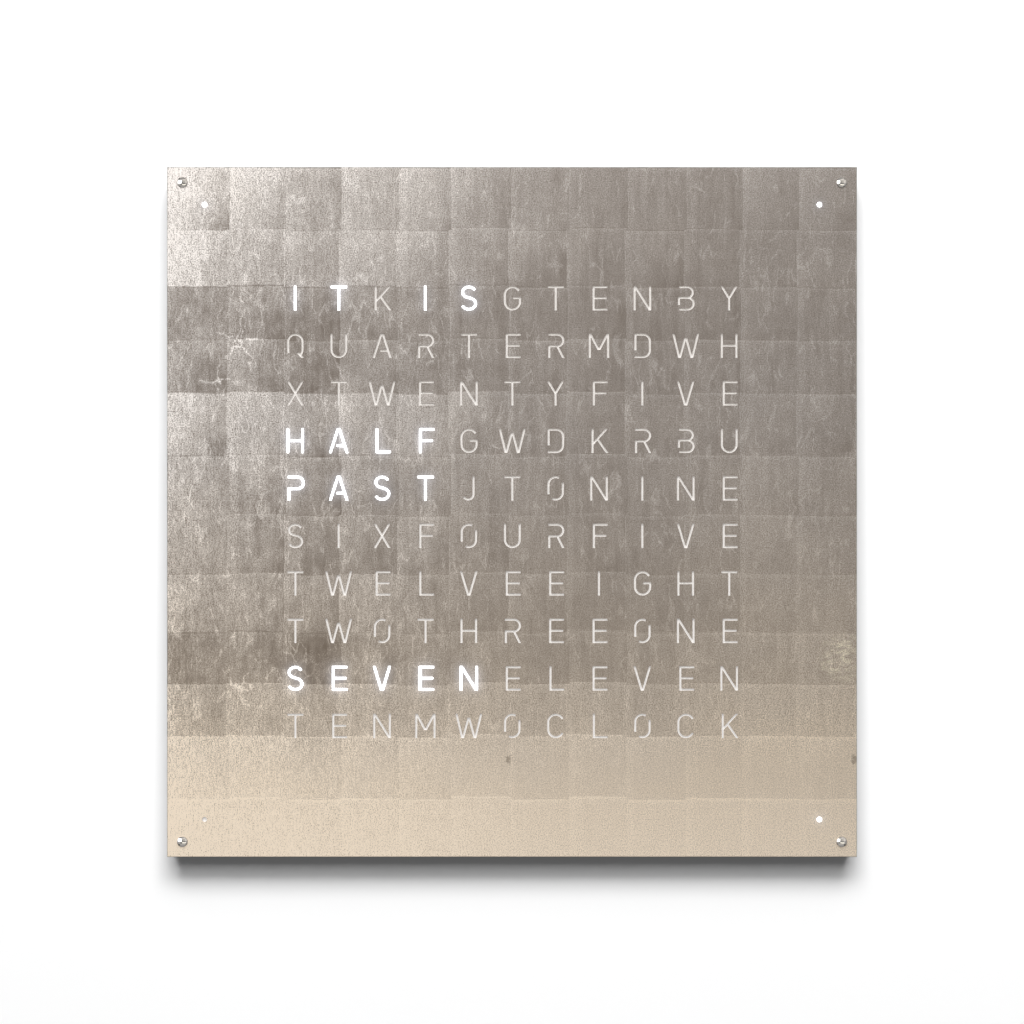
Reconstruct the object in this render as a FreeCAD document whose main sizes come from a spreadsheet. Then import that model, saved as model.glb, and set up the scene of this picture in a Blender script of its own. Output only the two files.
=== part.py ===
import FreeCAD, Part
import Sketcher
import os
from types import SimpleNamespace

# A square word clock that hangs on a wall rail. X runs to the right, Z up, and the front looks
# along -Y, so "depth" below is the distance from the wall plane, towards the room. The origin is
# midway between the wall rail's two screw holes, on the wall plane. Pieces of the housing and of the
# cover are drawn about the panel's centre, which lies rail_drop below the origin.

SIZES = {
    # front panel and the opal sheet behind it
    "panel_side": 900,
    "panel_t": 2,
    "panel_back": 30,
    "diffuser_margin": 40,
    "diffuser_t": 1,
    "dot_inset": 49,
    "dot_d": 6.5,
    # running and seating gaps
    "cover_gap": 0.3,
    "snug": 0.1,
    "plate_gap": 0.25,
    "block_gap": 0.3,
    # corner studs, and the steel keepers and magnets that hold the cover
    "stud_inset": 20,
    "stud_d": 14,
    "stud_rim": 1.2,
    "stud_dome": 2.6,
    "keeper_side": 15.4,
    "keeper_t": 2,
    "magnet_side": 16,
    "magnet_t": 5,
    # mitred frame
    "reveal": 5,
    "frame_rear": 1,
    "frame_wall": 2,
    "flange_reach": 14,
    "rear_lip": 6,
    "flange_t": 2,
    "bead_reach": 4,
    "bead_depth": 5,
    "seal_w": 2,
    "seal_t": 1.7,
    "groove_depth": 1,
    "notch_inset": 300,
    "notch_w": 12,
    "notch_depth": 7,
    # back plate
    "plate_rear": 9,
    "plate_t": 3,
    "vent_w": 60,
    "vent_h": 4,
    "vent_pitch": 9,
    "vent_count": 6,
    "vent_inset": 215,
    "vent_up": 51,
    # wall rail, hanger rail and its bolts
    "rail_inset": 110,
    "rail_length": 560,
    "rail_t": 2,
    "rail_foot": 15,
    "rail_rise": 8,
    "rail_lip": 12,
    "rail_stand": 5,
    "rail_hole_d": 5.5,
    "rail_hole_inset": 30,
    "hanger_length": 520,
    "hanger_flange": 24,
    "hook_lip": 10.1,
    "hook_gap": 0.1,
    "hook_side_gap": 0.4,
    "bolt_inset": 60,
    "bolt_d": 4,
    "bolt_head_w": 7,
    "bolt_head_t": 2.8,
    "nut_t": 3.2,
    "bumper_d": 18,
    "bumper_inset": 70,
    # corner blocks
    "block_side": 50,
    "block_chamfer": 4,
    "well_floor": 3,
    "well_rear": 8,
    "well_front": 13,
    "corner_board": 14,
    "corner_board_t": 1,
    "lead_w": 4,
    # light grid and LED strips
    "columns": 11,
    "rows": 10,
    "letter_margin_x": 138.7,
    "letter_margin_z": 140,
    "slat_t": 2,
    "slat_overhang": 6,
    "strip_w": 12,
    "strip_t": 1,
    "strip_overhang": 13,
    "led_side": 5,
    "led_t": 1.6,
    "link_w": 6,
    "link_t": 0.8,
    # controller board
    "board_up": 80,
    "board_w": 120,
    "board_h": 64,
    "board_t": 1.6,
    "bar_w": 6,
    "bar_t": 5,
    "part_inset": 8,
    "chip_side": 14,
    "chip_t": 1.4,
    "radio_w": 18,
    "radio_h": 25,
    "radio_t": 3,
    "cell_d": 20,
    "cell_t": 3.2,
    "holder_wall": 1.5,
    "holder_floor": 1.2,
    "crystal_w": 11,
    "crystal_h": 4.5,
    "crystal_t": 3.5,
    "capacitor_d": 8,
    "capacitor_t": 8.5,
    "connector_w": 10,
    "connector_h": 6,
    "connector_t": 7,
    "connector_gap": 3,
    # power inlet
    "cup_up": 75,
    "cup_w": 40,
    "cup_h": 60,
    "cup_depth": 14,
    "cup_wall": 2,
    "cup_brim": 4,
    "cup_brim_t": 1.5,
    "inlet_w": 14,
    "inlet_deep": 10,
    "inlet_h": 14,
    "barrel_d": 8,
    "bore_d": 6.4,
    "bore_depth": 9,
    "pin_d": 2,
    "pin_setback": 1,
    # buttons under the frame
    "button_inset": 120,
    "button_spacing": 30,
    "button_d": 8,
    "button_proud": 1.5,
    "collar_side": 9.6,
    "collar_t": 1,
    "button_gap": 0.2,
    "button_travel": 0.8,
    "button_depth": 19.2,
    "stem_side": 3.4,
    "stem_reach": 1.5,
    "switch_front": 6.5,
    "switch_w": 6,
    "switch_h": 7,
    "switch_deep": 4,
    "button_board_w": 90,
    "button_board_h": 15,
}

# how far a cut is drawn past the solid that it cuts
SPARE = 1

Vector = FreeCAD.Vector
FRONT = Vector(0, -1, 0)
UP = Vector(0, 0, 1)
RIGHT = Vector(1, 0, 0)
ORIGIN = Vector(0, 0, 0)

doc = FreeCAD.newDocument("word_clock")
sheet = doc.addObject("Spreadsheet::Sheet", "Sizes")
for row, (alias, value) in enumerate(SIZES.items(), 1):
    sheet.set(f"A{row}", alias)
    sheet.set(f"B{row}", str(value))
    sheet.setAlias(f"B{row}", alias)
doc.recompute()


class Length:
    """A number from the sheet with the formula that gives it. Sums and products of lengths keep
    both, so a worked-out length can still be bound to the sheet's cells."""

    def __init__(self, number, formula):
        self.number = number
        self.formula = formula

    def __add__(self, other):
        return Length(self.number + number(other), f"({self.formula} + {formula(other)})")

    def __sub__(self, other):
        return Length(self.number - number(other), f"({self.formula} - {formula(other)})")

    def __mul__(self, other):
        return Length(self.number * number(other), f"({self.formula} * {formula(other)})")

    def __truediv__(self, other):
        return Length(self.number / number(other), f"({self.formula} / {formula(other)})")

    def __neg__(self):
        return self * -1

    def __rsub__(self, other):
        return self * -1 + other

    __radd__ = __add__
    __rmul__ = __mul__


def number(value):
    return value.number if isinstance(value, Length) else value


def formula(value):
    return value.formula if isinstance(value, Length) else str(value)


size = SimpleNamespace(**{alias: Length(float(sheet.get(alias)), f"Sizes.{alias}") for alias in SIZES})

# ---- depths from the wall, and distances from the panel's centre, that many pieces share ----
panel_half = size.panel_side / 2
panel_face = size.panel_back + size.panel_t
rail_drop = panel_half - size.rail_inset
stud_place = panel_half - size.stud_inset
dot_place = panel_half - size.dot_inset
frame_half = panel_half - size.reveal
wall_inner = frame_half - size.frame_wall
flange_inner = wall_inner - size.flange_reach
plate_half = wall_inner - size.plate_gap
plate_front = size.plate_rear + size.plate_t
flange_rear = plate_front + size.snug
flange_front = flange_rear + size.flange_t
seal_front = size.panel_back - size.cover_gap
frame_front = seal_front - size.seal_t + size.groove_depth
groove_outer = frame_half - (size.bead_reach - size.seal_w) / 2
groove_floor = frame_front - size.groove_depth
grid_front = size.panel_back - size.diffuser_t - size.cover_gap
strip_front = plate_front + size.strip_t
keeper_rear = size.panel_back - size.keeper_t
magnet_rear = keeper_rear - size.cover_gap - size.magnet_t
block_outer = frame_half - size.bead_reach - size.block_gap
block_inner = block_outer - size.block_side
notch_x = panel_half - size.notch_inset
columns = int(size.columns.number)
rows = int(size.rows.number)
grid_w = size.panel_side - size.letter_margin_x * 2
grid_h = size.panel_side - size.letter_margin_z * 2
column_pitch = grid_w / size.columns
row_pitch = grid_h / size.rows

nodes = []


def tie(thing, name, value):
    """Bind one property or constraint to the sheet."""
    thing.setExpression(name, formula(value))


def centre_on_panel(thing):
    """Carry a piece that is drawn about the panel's centre to its place below the wall rail."""
    tie(thing, "Placement.Base.z", -rail_drop)


def new_body(label, node=True, on_panel=True):
    body = doc.addObject("PartDesign::Body", label)
    if on_panel:
        centre_on_panel(body)
    if node:
        nodes.append(body)
    return body


def new_sketch(body, role, away=0):
    """An empty sketch parallel to one of the body's own planes, moved along its normal by away."""
    sketch = body.newObject("Sketcher::SketchObject", f"{body.Name}_sketch")
    plane = next(feature for feature in body.Origin.OriginFeatures if feature.Role == role)
    sketch.AttachmentSupport = (plane, [""])
    sketch.MapMode = "FlatFace"
    tie(sketch, "AttachmentOffset.Base.z", away)
    return sketch


def pin_point(sketch, geometry, end, across, along):
    """Hold one point of the sketch's geometry at its two distances from the sketch's origin."""
    for kind, value in (("DistanceX", across), ("DistanceY", along)):
        place = sketch.addConstraint(Sketcher.Constraint(kind, -1, 1, geometry, end, number(value)))
        tie(sketch, f"Constraints[{place}]", value)


def add_outline(sketch, corners, domes=None):
    """A closed outline of straight runs. domes gives the radius of the edges, by number, that are
    arcs bulging to the left of their direction."""
    domes = domes or {}
    spots = [Vector(number(across), number(along), 0) for across, along in corners]
    first = sketch.GeometryCount
    for k, start in enumerate(spots):
        stop = spots[(k + 1) % len(spots)]
        if k not in domes:
            sketch.addGeometry(Part.LineSegment(start, stop))
            continue
        radius = number(domes[k])
        chord = stop - start
        left = Vector(-chord.y, chord.x, 0).normalize()
        rise = radius - (radius ** 2 - chord.Length ** 2 / 4) ** 0.5
        sketch.addGeometry(Part.Arc(start, (start + stop) / 2 + left * rise, stop))
    last = first + len(spots)
    for k in range(first, last):
        after = k + 1 if k + 1 < last else first
        near_end = ends_of(sketch, k, spots[k - first])
        far_end = 3 - near_end
        after_end = ends_of(sketch, after, spots[after - first])
        sketch.addConstraint(Sketcher.Constraint("Coincident", k, far_end, after, after_end))
    for k in range(first, last):
        near_end = ends_of(sketch, k, spots[k - first])
        pin_point(sketch, k, near_end, *corners[k - first])
        if k - first in domes:
            radius = domes[k - first]
            place = sketch.addConstraint(Sketcher.Constraint("Radius", k, number(radius)))
            tie(sketch, f"Constraints[{place}]", radius)


def ends_of(sketch, geometry, spot):
    """Which end of a line or arc, 1 for its start or 2 for its end, lies at the spot."""
    return 1 if sketch.getPoint(geometry, 1).distanceToPoint(spot) < 1e-6 else 2


def add_box(sketch, left, low, right, high):
    add_outline(sketch, [(left, low), (right, low), (right, high), (left, high)])


def add_circle(sketch, across, along, diameter):
    centre = Vector(number(across), number(along), 0)
    ring = sketch.addGeometry(Part.Circle(centre, UP, number(diameter) / 2))
    pin_point(sketch, ring, 3, across, along)
    place = sketch.addConstraint(Sketcher.Constraint("Diameter", ring, number(diameter)))
    tie(sketch, f"Constraints[{place}]", diameter)


def pad(body, sketch, length, middle=False):
    feature = body.newObject("PartDesign::Pad", f"{body.Name}_pad")
    feature.Profile = sketch
    feature.Midplane = middle
    tie(feature, "Length", length)
    doc.recompute()
    return feature


def pocket(body, sketch, length, middle=False):
    """Cut from the sketch along its plane's normal, and make sure that it cuts."""
    before = body.Shape.Volume
    feature = body.newObject("PartDesign::Pocket", f"{body.Name}_pocket")
    feature.Profile = sketch
    feature.Reversed = not middle
    feature.Midplane = middle
    tie(feature, "Length", length)
    doc.recompute()
    if not body.Shape.Volume < before:
        raise ValueError(f"{feature.Name} cuts nothing")
    return feature


def revolve(body, sketch):
    """Turn the sketch's outline about the sketch's upright axis."""
    feature = body.newObject("PartDesign::Revolution", f"{body.Name}_revolution")
    feature.Profile = sketch
    feature.ReferenceAxis = (sketch, ["V_Axis"])
    feature.Angle = 360
    doc.recompute()
    return feature


def repeat(body, feature, sketch, axis, pitch, count):
    """Repeat a feature along an axis of its own sketch."""
    pattern = body.newObject("PartDesign::LinearPattern", f"{body.Name}_pattern")
    pattern.Originals = [feature]
    pattern.Direction = (sketch, [axis])
    tie(pattern, "Length", pitch * (count - 1))
    tie(pattern, "Occurrences", count)
    body.Tip = pattern
    doc.recompute()
    return pattern


def group(label, solids, on_panel=True):
    """Alike pieces that share one node, as separate solids."""
    feature = doc.addObject("Part::Feature", label)
    feature.Shape = Part.makeCompound(solids)
    if on_panel:
        centre_on_panel(feature)
    nodes.append(feature)
    return feature


def block(width, deep, height, x, depth, z):
    """A box centred on x and z, that starts at a distance from the wall."""
    left = number(x) - number(width) / 2
    low = number(z) - number(height) / 2
    corner = Vector(left, -number(depth) - number(deep), low)
    return Part.makeBox(number(width), number(deep), number(height), corner)


def rod(diameter, length, x, depth, z):
    """A cylinder that starts at a distance from the wall and runs forwards."""
    start = Vector(number(x), -number(depth), number(z))
    return Part.makeCylinder(number(diameter) / 2, number(length), start, FRONT)


def hexagon(width, length, x, depth, z):
    """A six-sided bolt head or nut, given the width across its flats."""
    arm = Vector(number(width) / 3 ** 0.5, 0, 0)
    middle = Vector(number(x), -number(depth), number(z))
    rim = [middle + FreeCAD.Rotation(FRONT, turn * 60).multVec(arm) for turn in range(7)]
    return Part.Face(Part.makePolygon(rim)).extrude(FRONT * number(length))


def four_corners(shape):
    """Copies of a shape drawn for the upper right corner, one for each corner of the panel."""
    return [shape.rotated(ORIGIN, FRONT, quarter * 90) for quarter in range(4)]


def spread(shape, way, pitch, count):
    """Copies of a shape in a row that is centred on the panel."""
    middle = (count - 1) / 2
    return [shape.translated(way * (number(pitch) * (place - middle))) for place in range(count)]


def place_part(part, x, depth, z):
    tie(part, "Placement.Base.x", x)
    tie(part, "Placement.Base.y", -depth)
    tie(part, "Placement.Base.z", z - rail_drop)


def box_part(label, width, deep, height, x, depth, z):
    """A plain block, centred on x and z, that starts at a distance from the wall."""
    box = doc.addObject("Part::Box", label)
    tie(box, "Length", width)
    tie(box, "Width", deep)
    tie(box, "Height", height)
    place_part(box, x - width / 2, depth + deep, z - height / 2)
    return box


def round_part(label, diameter, deep, x, depth, z):
    """A plain round piece that starts at a distance from the wall and runs forwards."""
    disc = doc.addObject("Part::Cylinder", label)
    disc.Placement = FreeCAD.Placement(ORIGIN, FreeCAD.Rotation(RIGHT, 90))
    tie(disc, "Radius", diameter / 2)
    tie(disc, "Height", deep)
    place_part(disc, x, depth, z)
    return disc


# ---- wall rail: folded aluminium, screwed to the wall, with an upturned lip that carries the clock ----
lip_top = size.rail_rise + size.rail_t + size.rail_lip
lip_rear = size.rail_stand - size.rail_t
wall_rail = new_body("wall_rail", on_panel=False)
rail_sketch = new_sketch(wall_rail, "YZ_Plane")
add_outline(rail_sketch, [
    (0, -size.rail_foot),
    (0, size.rail_rise + size.rail_t),
    (-lip_rear, size.rail_rise + size.rail_t),
    (-lip_rear, lip_top),
    (-size.rail_stand, lip_top),
    (-size.rail_stand, size.rail_rise),
    (-size.rail_t, size.rail_rise),
    (-size.rail_t, -size.rail_foot),
])
pad(wall_rail, rail_sketch, size.rail_length, middle=True)
rail_holes = new_sketch(wall_rail, "XZ_Plane")
for hand in (-1, 1):
    hole_x = (size.rail_length / 2 - size.rail_hole_inset) * hand
    add_circle(rail_holes, hole_x, 0, size.rail_hole_d)
pocket(wall_rail, rail_holes, size.rail_t)

# ---- hanger rail: the same fold turned over, hooked behind the wall rail's lip and bolted through
# the back plate ----
hook_front = lip_rear - size.hook_side_gap
hook_rear = hook_front - size.rail_t
hook_web = lip_top + size.hook_gap
hanger_rear = size.plate_rear - size.rail_t
hanger_top = hook_web + size.hanger_flange
hanger_rail = new_body("hanger_rail", on_panel=False)
hanger_sketch = new_sketch(hanger_rail, "YZ_Plane")
add_outline(hanger_sketch, [
    (-hook_rear, hook_web - size.hook_lip),
    (-hook_rear, hook_web + size.rail_t),
    (-hanger_rear, hook_web + size.rail_t),
    (-hanger_rear, hanger_top),
    (-size.plate_rear, hanger_top),
    (-size.plate_rear, hook_web),
    (-hook_front, hook_web),
    (-hook_front, hook_web - size.hook_lip),
])
pad(hanger_rail, hanger_sketch, size.hanger_length, middle=True)
bolt_reach = size.hanger_length / 2 - size.bolt_inset
bolt_places = [bolt_reach * step for step in (-1, 0, 1)]
bolt_z = (hook_web + size.rail_t + hanger_top) / 2
bolt_hole_d = size.bolt_d + size.snug * 2
hanger_holes = new_sketch(hanger_rail, "XZ_Plane", hanger_rear)
for x in bolt_places:
    add_circle(hanger_holes, x, bolt_z, bolt_hole_d)
pocket(hanger_rail, hanger_holes, size.rail_t)

hanger_bolts = []
for x in bolt_places:
    head = hexagon(size.bolt_head_w, size.bolt_head_t, x, hanger_rear - size.bolt_head_t, bolt_z)
    shank = rod(size.bolt_d, size.rail_t + size.plate_t, x, hanger_rear, bolt_z)
    nut = hexagon(size.bolt_head_w, size.nut_t, x, plate_front, bolt_z)
    hanger_bolts.append(head.fuse([shank, nut]).removeSplitter())
group("hanger_bolts", hanger_bolts, on_panel=False)

# ---- mitred frame: one extruded aluminium section with its outer wall, a groove that holds the
# edge of the back plate, a flange for the corner blocks, and a front bead for the light seal ----


def frame_side(label, turn):
    """One side of the frame, drawn as the top side and turned about the panel's centre."""
    side = new_body(label)
    side.Placement = FreeCAD.Placement(ORIGIN, FreeCAD.Rotation(FRONT, turn))
    centre_on_panel(side)
    lip_front = size.plate_rear - size.snug
    bead_inner = frame_half - size.bead_reach
    bead_rear = frame_front - size.bead_depth
    section = new_sketch(side, "YZ_Plane")
    add_outline(section, [
        (-size.frame_rear, frame_half),
        (-size.frame_rear, wall_inner),
        (size.flange_t - lip_front, wall_inner),
        (size.flange_t - lip_front, wall_inner - size.rear_lip),
        (-lip_front, wall_inner - size.rear_lip),
        (-lip_front, wall_inner),
        (-flange_rear, wall_inner),
        (-flange_rear, flange_inner),
        (-flange_front, flange_inner),
        (-flange_front, wall_inner),
        (-bead_rear, wall_inner),
        (bead_inner - wall_inner - bead_rear, bead_inner),
        (-frame_front, bead_inner),
        (-frame_front, groove_outer - size.seal_w),
        (-groove_floor, groove_outer - size.seal_w),
        (-groove_floor, groove_outer),
        (-frame_front, groove_outer),
        (-frame_front, frame_half),
    ])
    pad(side, section, frame_half * 2, middle=True)
    mitres = new_sketch(side, "XZ_Plane")
    for hand in (-1, 1):
        add_outline(mitres, [
            ((frame_half + SPARE) * hand, frame_half + SPARE),
            ((flange_inner - SPARE) * hand, flange_inner - SPARE),
            ((frame_half + SPARE) * hand, flange_inner - SPARE),
        ])
    pocket(side, mitres, size.panel_back)
    return side


frame_side("frame_top", 0)
frame_side("frame_left", 90)
frame_side("frame_right", 270)
frame_bottom = frame_side("frame_bottom", 180)
# the bottom side is drawn upside down, so the clock's right is on its left
button_middle = panel_half - size.button_inset
button_places = [button_middle + size.button_spacing * step for step in (-1, 0, 1)]
button_holes = new_sketch(frame_bottom, "XY_Plane", wall_inner)
for x in button_places:
    add_circle(button_holes, -x, -size.button_depth, size.button_d + size.button_gap * 2)
pocket(frame_bottom, button_holes, size.frame_wall)
cord_notch = new_sketch(frame_bottom, "XY_Plane", wall_inner)
notch_floor = -(size.frame_rear + size.notch_depth)
notch_half = size.notch_w / 2
add_box(cord_notch, -notch_x - notch_half, notch_floor, notch_half - notch_x, 0)
pocket(frame_bottom, cord_notch, size.frame_wall)
lip_notch = new_sketch(frame_bottom, "XZ_Plane")
add_box(
    lip_notch,
    -notch_x - notch_half,
    wall_inner - size.rear_lip - SPARE,
    notch_half - notch_x,
    wall_inner,
)
pocket(frame_bottom, lip_notch, size.plate_rear)

# ---- light seal: a square ring of foam in the groove of the frame's front edge ----
light_seal = new_body("light_seal")
seal_sketch = new_sketch(light_seal, "XZ_Plane", groove_floor)
seal_inner = groove_outer - size.seal_w
add_box(seal_sketch, -groove_outer, -groove_outer, groove_outer, groove_outer)
add_box(seal_sketch, -seal_inner, -seal_inner, seal_inner, seal_inner)
pad(light_seal, seal_sketch, size.seal_t)

# ---- back plate: a sheet held in the frame's groove, with vent slots and the inlet's opening ----
cup_low = size.cup_up - panel_half - size.cup_h / 2
cup_high = cup_low + size.cup_h
cup_left = notch_x - size.cup_w / 2
cup_right = cup_left + size.cup_w
back_plate = new_body("back_plate")
plate_sketch = new_sketch(back_plate, "XZ_Plane", size.plate_rear)
add_box(plate_sketch, -plate_half, -plate_half, plate_half, plate_half)
room = size.cup_wall + size.plate_gap
add_box(plate_sketch, cup_left - room, cup_low - room, cup_right + room, cup_high + room)
for x in bolt_places:
    add_circle(plate_sketch, x, bolt_z + rail_drop, bolt_hole_d)
pad(back_plate, plate_sketch, size.plate_t)
for hand in (-1, 1):
    vent = new_sketch(back_plate, "XZ_Plane", size.plate_rear)
    left = (panel_half - size.vent_inset) * hand - size.vent_w / 2
    low = size.vent_up - panel_half
    add_box(vent, left, low, left + size.vent_w, low + size.vent_h)
    slot = pocket(back_plate, vent, size.plate_t)
    repeat(back_plate, slot, vent, "V_Axis", size.vent_pitch, size.vent_count)

# ---- wall bumpers: rubber feet that hold the lower edge off the wall ----
bumper_place = panel_half - size.bumper_inset
group("wall_bumpers", [
    rod(size.bumper_d, size.plate_rear, bumper_place * hand, 0, -bumper_place) for hand in (-1, 1)
])

# ---- corner blocks: moulded, bonded to the flanges of two frame sides. Each has a pocket for a
# magnet, whose mouth takes the cover's keeper, and the tapered light well of its minute dot ----


def add_square(sketch, middle, side):
    """A square whose centre is as far across as along."""
    add_box(sketch, middle - side / 2, middle - side / 2, middle + side / 2, middle + side / 2)


def corner_block(label, turn):
    """One corner block, drawn as the upper right one and turned about the panel's centre."""
    body = new_body(label)
    body.Placement = FreeCAD.Placement(ORIGIN, FreeCAD.Rotation(FRONT, turn))
    centre_on_panel(body)
    foot = new_sketch(body, "XZ_Plane", plate_front)
    add_outline(foot, [
        (block_inner + size.block_chamfer, block_inner),
        (block_outer, block_inner),
        (block_outer, block_outer),
        (block_inner, block_outer),
        (block_inner, block_inner + size.block_chamfer),
    ])
    pad(body, foot, grid_front - plate_front)
    flange_edge = flange_inner - size.block_gap
    flange_room = new_sketch(body, "XZ_Plane", plate_front)
    add_outline(flange_room, [
        (flange_edge, block_inner - SPARE),
        (block_outer + SPARE, block_inner - SPARE),
        (block_outer + SPARE, block_outer + SPARE),
        (block_inner - SPARE, block_outer + SPARE),
        (block_inner - SPARE, flange_edge),
        (flange_edge, flange_edge),
    ])
    pocket(body, flange_room, flange_front - plate_front)
    magnet_room = new_sketch(body, "XZ_Plane", magnet_rear)
    add_square(magnet_room, stud_place, size.magnet_side + size.snug * 2)
    pocket(body, magnet_room, grid_front - magnet_rear)
    board_room = new_sketch(body, "XZ_Plane", plate_front)
    add_square(board_room, dot_place, size.corner_board + size.block_gap * 2)
    pocket(body, board_room, size.well_floor)
    lead_exit = new_sketch(body, "XZ_Plane", plate_front)
    lead_half = size.lead_w / 2
    add_box(lead_exit, block_inner - SPARE, dot_place - lead_half, dot_place, dot_place + lead_half)
    pocket(body, lead_exit, size.well_floor)
    before = body.Shape.Volume
    well = body.newObject("PartDesign::SubtractiveWedge", f"{label}_well")
    tie(well, "Ymin", -grid_front)
    tie(well, "Ymax", -plate_front - size.well_floor)
    for axis in "XZ":
        for end, hand in (("min", -1), ("max", 1)):
            tie(well, axis + end, dot_place + size.well_front / 2 * hand)
            tie(well, f"{axis}2{end}", dot_place + size.well_rear / 2 * hand)
    doc.recompute()
    if not body.Shape.Volume < before:
        raise ValueError(f"{well.Name} cuts nothing")


corner_block("corner_block_top_right", 0)
corner_block("corner_block_top_left", 90)
corner_block("corner_block_bottom_left", 180)
corner_block("corner_block_bottom_right", 270)

magnet = block(
    size.magnet_side, size.magnet_t, size.magnet_side, stud_place, magnet_rear, stud_place
)
group("corner_magnets", four_corners(magnet))
corner_board = block(
    size.corner_board, size.corner_board_t, size.corner_board, dot_place, plate_front, dot_place
)
group("corner_led_boards", four_corners(corner_board))
corner_led_rear = plate_front + size.corner_board_t
corner_led = block(size.led_side, size.led_t, size.led_side, dot_place, corner_led_rear, dot_place)
group("corner_leds", four_corners(corner_led))

# ---- light grid: thin slats on edge that stand on the LED strips, cross in half-laps and part the
# letters' cells from each other ----
lap = (strip_front + grid_front) / 2
slot_half = size.slat_t / 2 + size.snug
slot_deep = size.slat_t * 2
upright = new_body("upright_slat", node=False, on_panel=False)
upright_sketch = new_sketch(upright, "YZ_Plane")
upright_end = grid_h / 2 + size.slat_overhang
add_box(upright_sketch, -grid_front, -upright_end, -strip_front, upright_end)
pad(upright, upright_sketch, size.slat_t, middle=True)
upright_slot = new_sketch(upright, "YZ_Plane")
add_box(upright_slot, -grid_front - SPARE, -grid_h / 2 - slot_half, -lap, slot_half - grid_h / 2)
slot = pocket(upright, upright_slot, slot_deep, middle=True)
repeat(upright, slot, upright_slot, "V_Axis", row_pitch, size.rows + 1)
group("upright_slats", spread(upright.Shape, RIGHT, column_pitch, columns + 1))

level = new_body("level_slat", node=False, on_panel=False)
level_sketch = new_sketch(level, "XY_Plane")
level_end = grid_w / 2 + size.slat_overhang
add_box(level_sketch, -level_end, -grid_front, level_end, -strip_front)
pad(level, level_sketch, size.slat_t, middle=True)
level_slot = new_sketch(level, "XY_Plane")
level_lap = -lap - size.snug
add_box(level_slot, -grid_w / 2 - slot_half, level_lap, slot_half - grid_w / 2, SPARE - strip_front)
slot = pocket(level, level_slot, slot_deep, middle=True)
repeat(level, slot, level_slot, "H_Axis", column_pitch, size.columns + 1)
group("level_slats", spread(level.Shape, UP, row_pitch, rows + 1))

# ---- LED strips: one circuit board behind each row of letters, with an LED behind each letter, and
# a link from each strip's end to the next strip ----
strip_length = grid_w + size.strip_overhang * 2
row_places = [row_pitch * (rows / 2 - 0.5 - row) for row in range(rows)]
for row, z in enumerate(row_places, 1):
    strip = box_part(
        f"led_strip_{row}", strip_length, size.strip_t, size.strip_w, 0, plate_front, z
    )
    nodes.append(strip)
letter_led = block(size.led_side, size.led_t, size.led_side, 0, strip_front, 0)
letter_leds = []
for led in spread(letter_led, RIGHT, column_pitch, columns):
    letter_leds += spread(led, UP, row_pitch, rows)
group("letter_leds", letter_leds)
strip_links = []
for row in range(rows - 1):
    hand = 1 if row % 2 else -1
    x = (strip_length - size.link_w) / 2 * hand
    z = row_places[row] - row_pitch / 2
    strip_links.append(block(size.link_w, size.link_t, row_pitch + size.link_w, x, strip_front, z))
group("strip_links", strip_links)

# ---- controller board on two bars, in the margin under the letters ----
board_z = size.board_up - panel_half
board_rear = plate_front + size.bar_t
board_front = board_rear + size.board_t
board_left = -size.board_w / 2
board_low = board_z - size.board_h / 2
bar_x = (size.board_w - size.bar_w) / 2
group("board_bars", [
    block(size.bar_w, size.bar_t, size.board_h, bar_x * hand, plate_front, board_z)
    for hand in (-1, 1)
])


def board_part(label, width, deep, height, across, along):
    """A boxy part on the controller board, its centre given from the board's lower left corner."""
    place_x = board_left + across
    return box_part(label, width, deep, height, place_x, board_front, board_low + along)


nodes.append(box_part(
    "controller_board", size.board_w, size.board_t, size.board_h, 0, board_rear, board_z
))
middle_x = size.board_w / 2
middle_z = size.board_h / 2
chip = board_part(
    "microcontroller", size.chip_side, size.chip_t, size.chip_side, middle_x, middle_z
)
crystal_up = middle_z + size.chip_side
crystal = board_part(
    "clock_crystal", size.crystal_w, size.crystal_t, size.crystal_h, middle_x, crystal_up
)
radio = board_part(
    "radio_module",
    size.radio_w,
    size.radio_t,
    size.radio_h,
    size.part_inset + size.radio_w / 2,
    size.board_h - size.radio_h / 2,
)
nodes += [chip, crystal, radio]
holder_side = size.cell_d + (size.holder_wall + size.snug) * 2
holder_t = size.holder_floor + size.cell_t
cell_across = size.board_w - size.part_inset - holder_side / 2
cell_x = board_left + cell_across
cell_rear = board_front + size.holder_floor
cell_room = size.cell_d + size.snug * 2
holder = doc.addObject("Part::Cut", "coin_cell_holder")
holder.Base = board_part("holder_block", holder_side, holder_t, holder_side, cell_across, middle_z)
holder.Tool = round_part("holder_room", cell_room, size.cell_t, cell_x, cell_rear, board_z)
cell = round_part("coin_cell", size.cell_d, size.cell_t, cell_x, cell_rear, board_z)
capacitor_x = board_left + middle_x + size.chip_side
capacitor_z = board_low + size.capacitor_d
capacitor = round_part(
    "capacitor", size.capacitor_d, size.capacitor_t, capacitor_x, board_front, capacitor_z
)
nodes += [holder, cell, capacitor]
connectors = []
for place in range(3):
    step = (size.connector_w + size.connector_gap) * place
    x = board_left + size.part_inset + size.connector_w / 2 + step
    z = board_low + size.connector_h
    connectors.append(
        block(size.connector_w, size.connector_t, size.connector_h, x, board_front, z)
    )
group("board_connectors", connectors)

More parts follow.
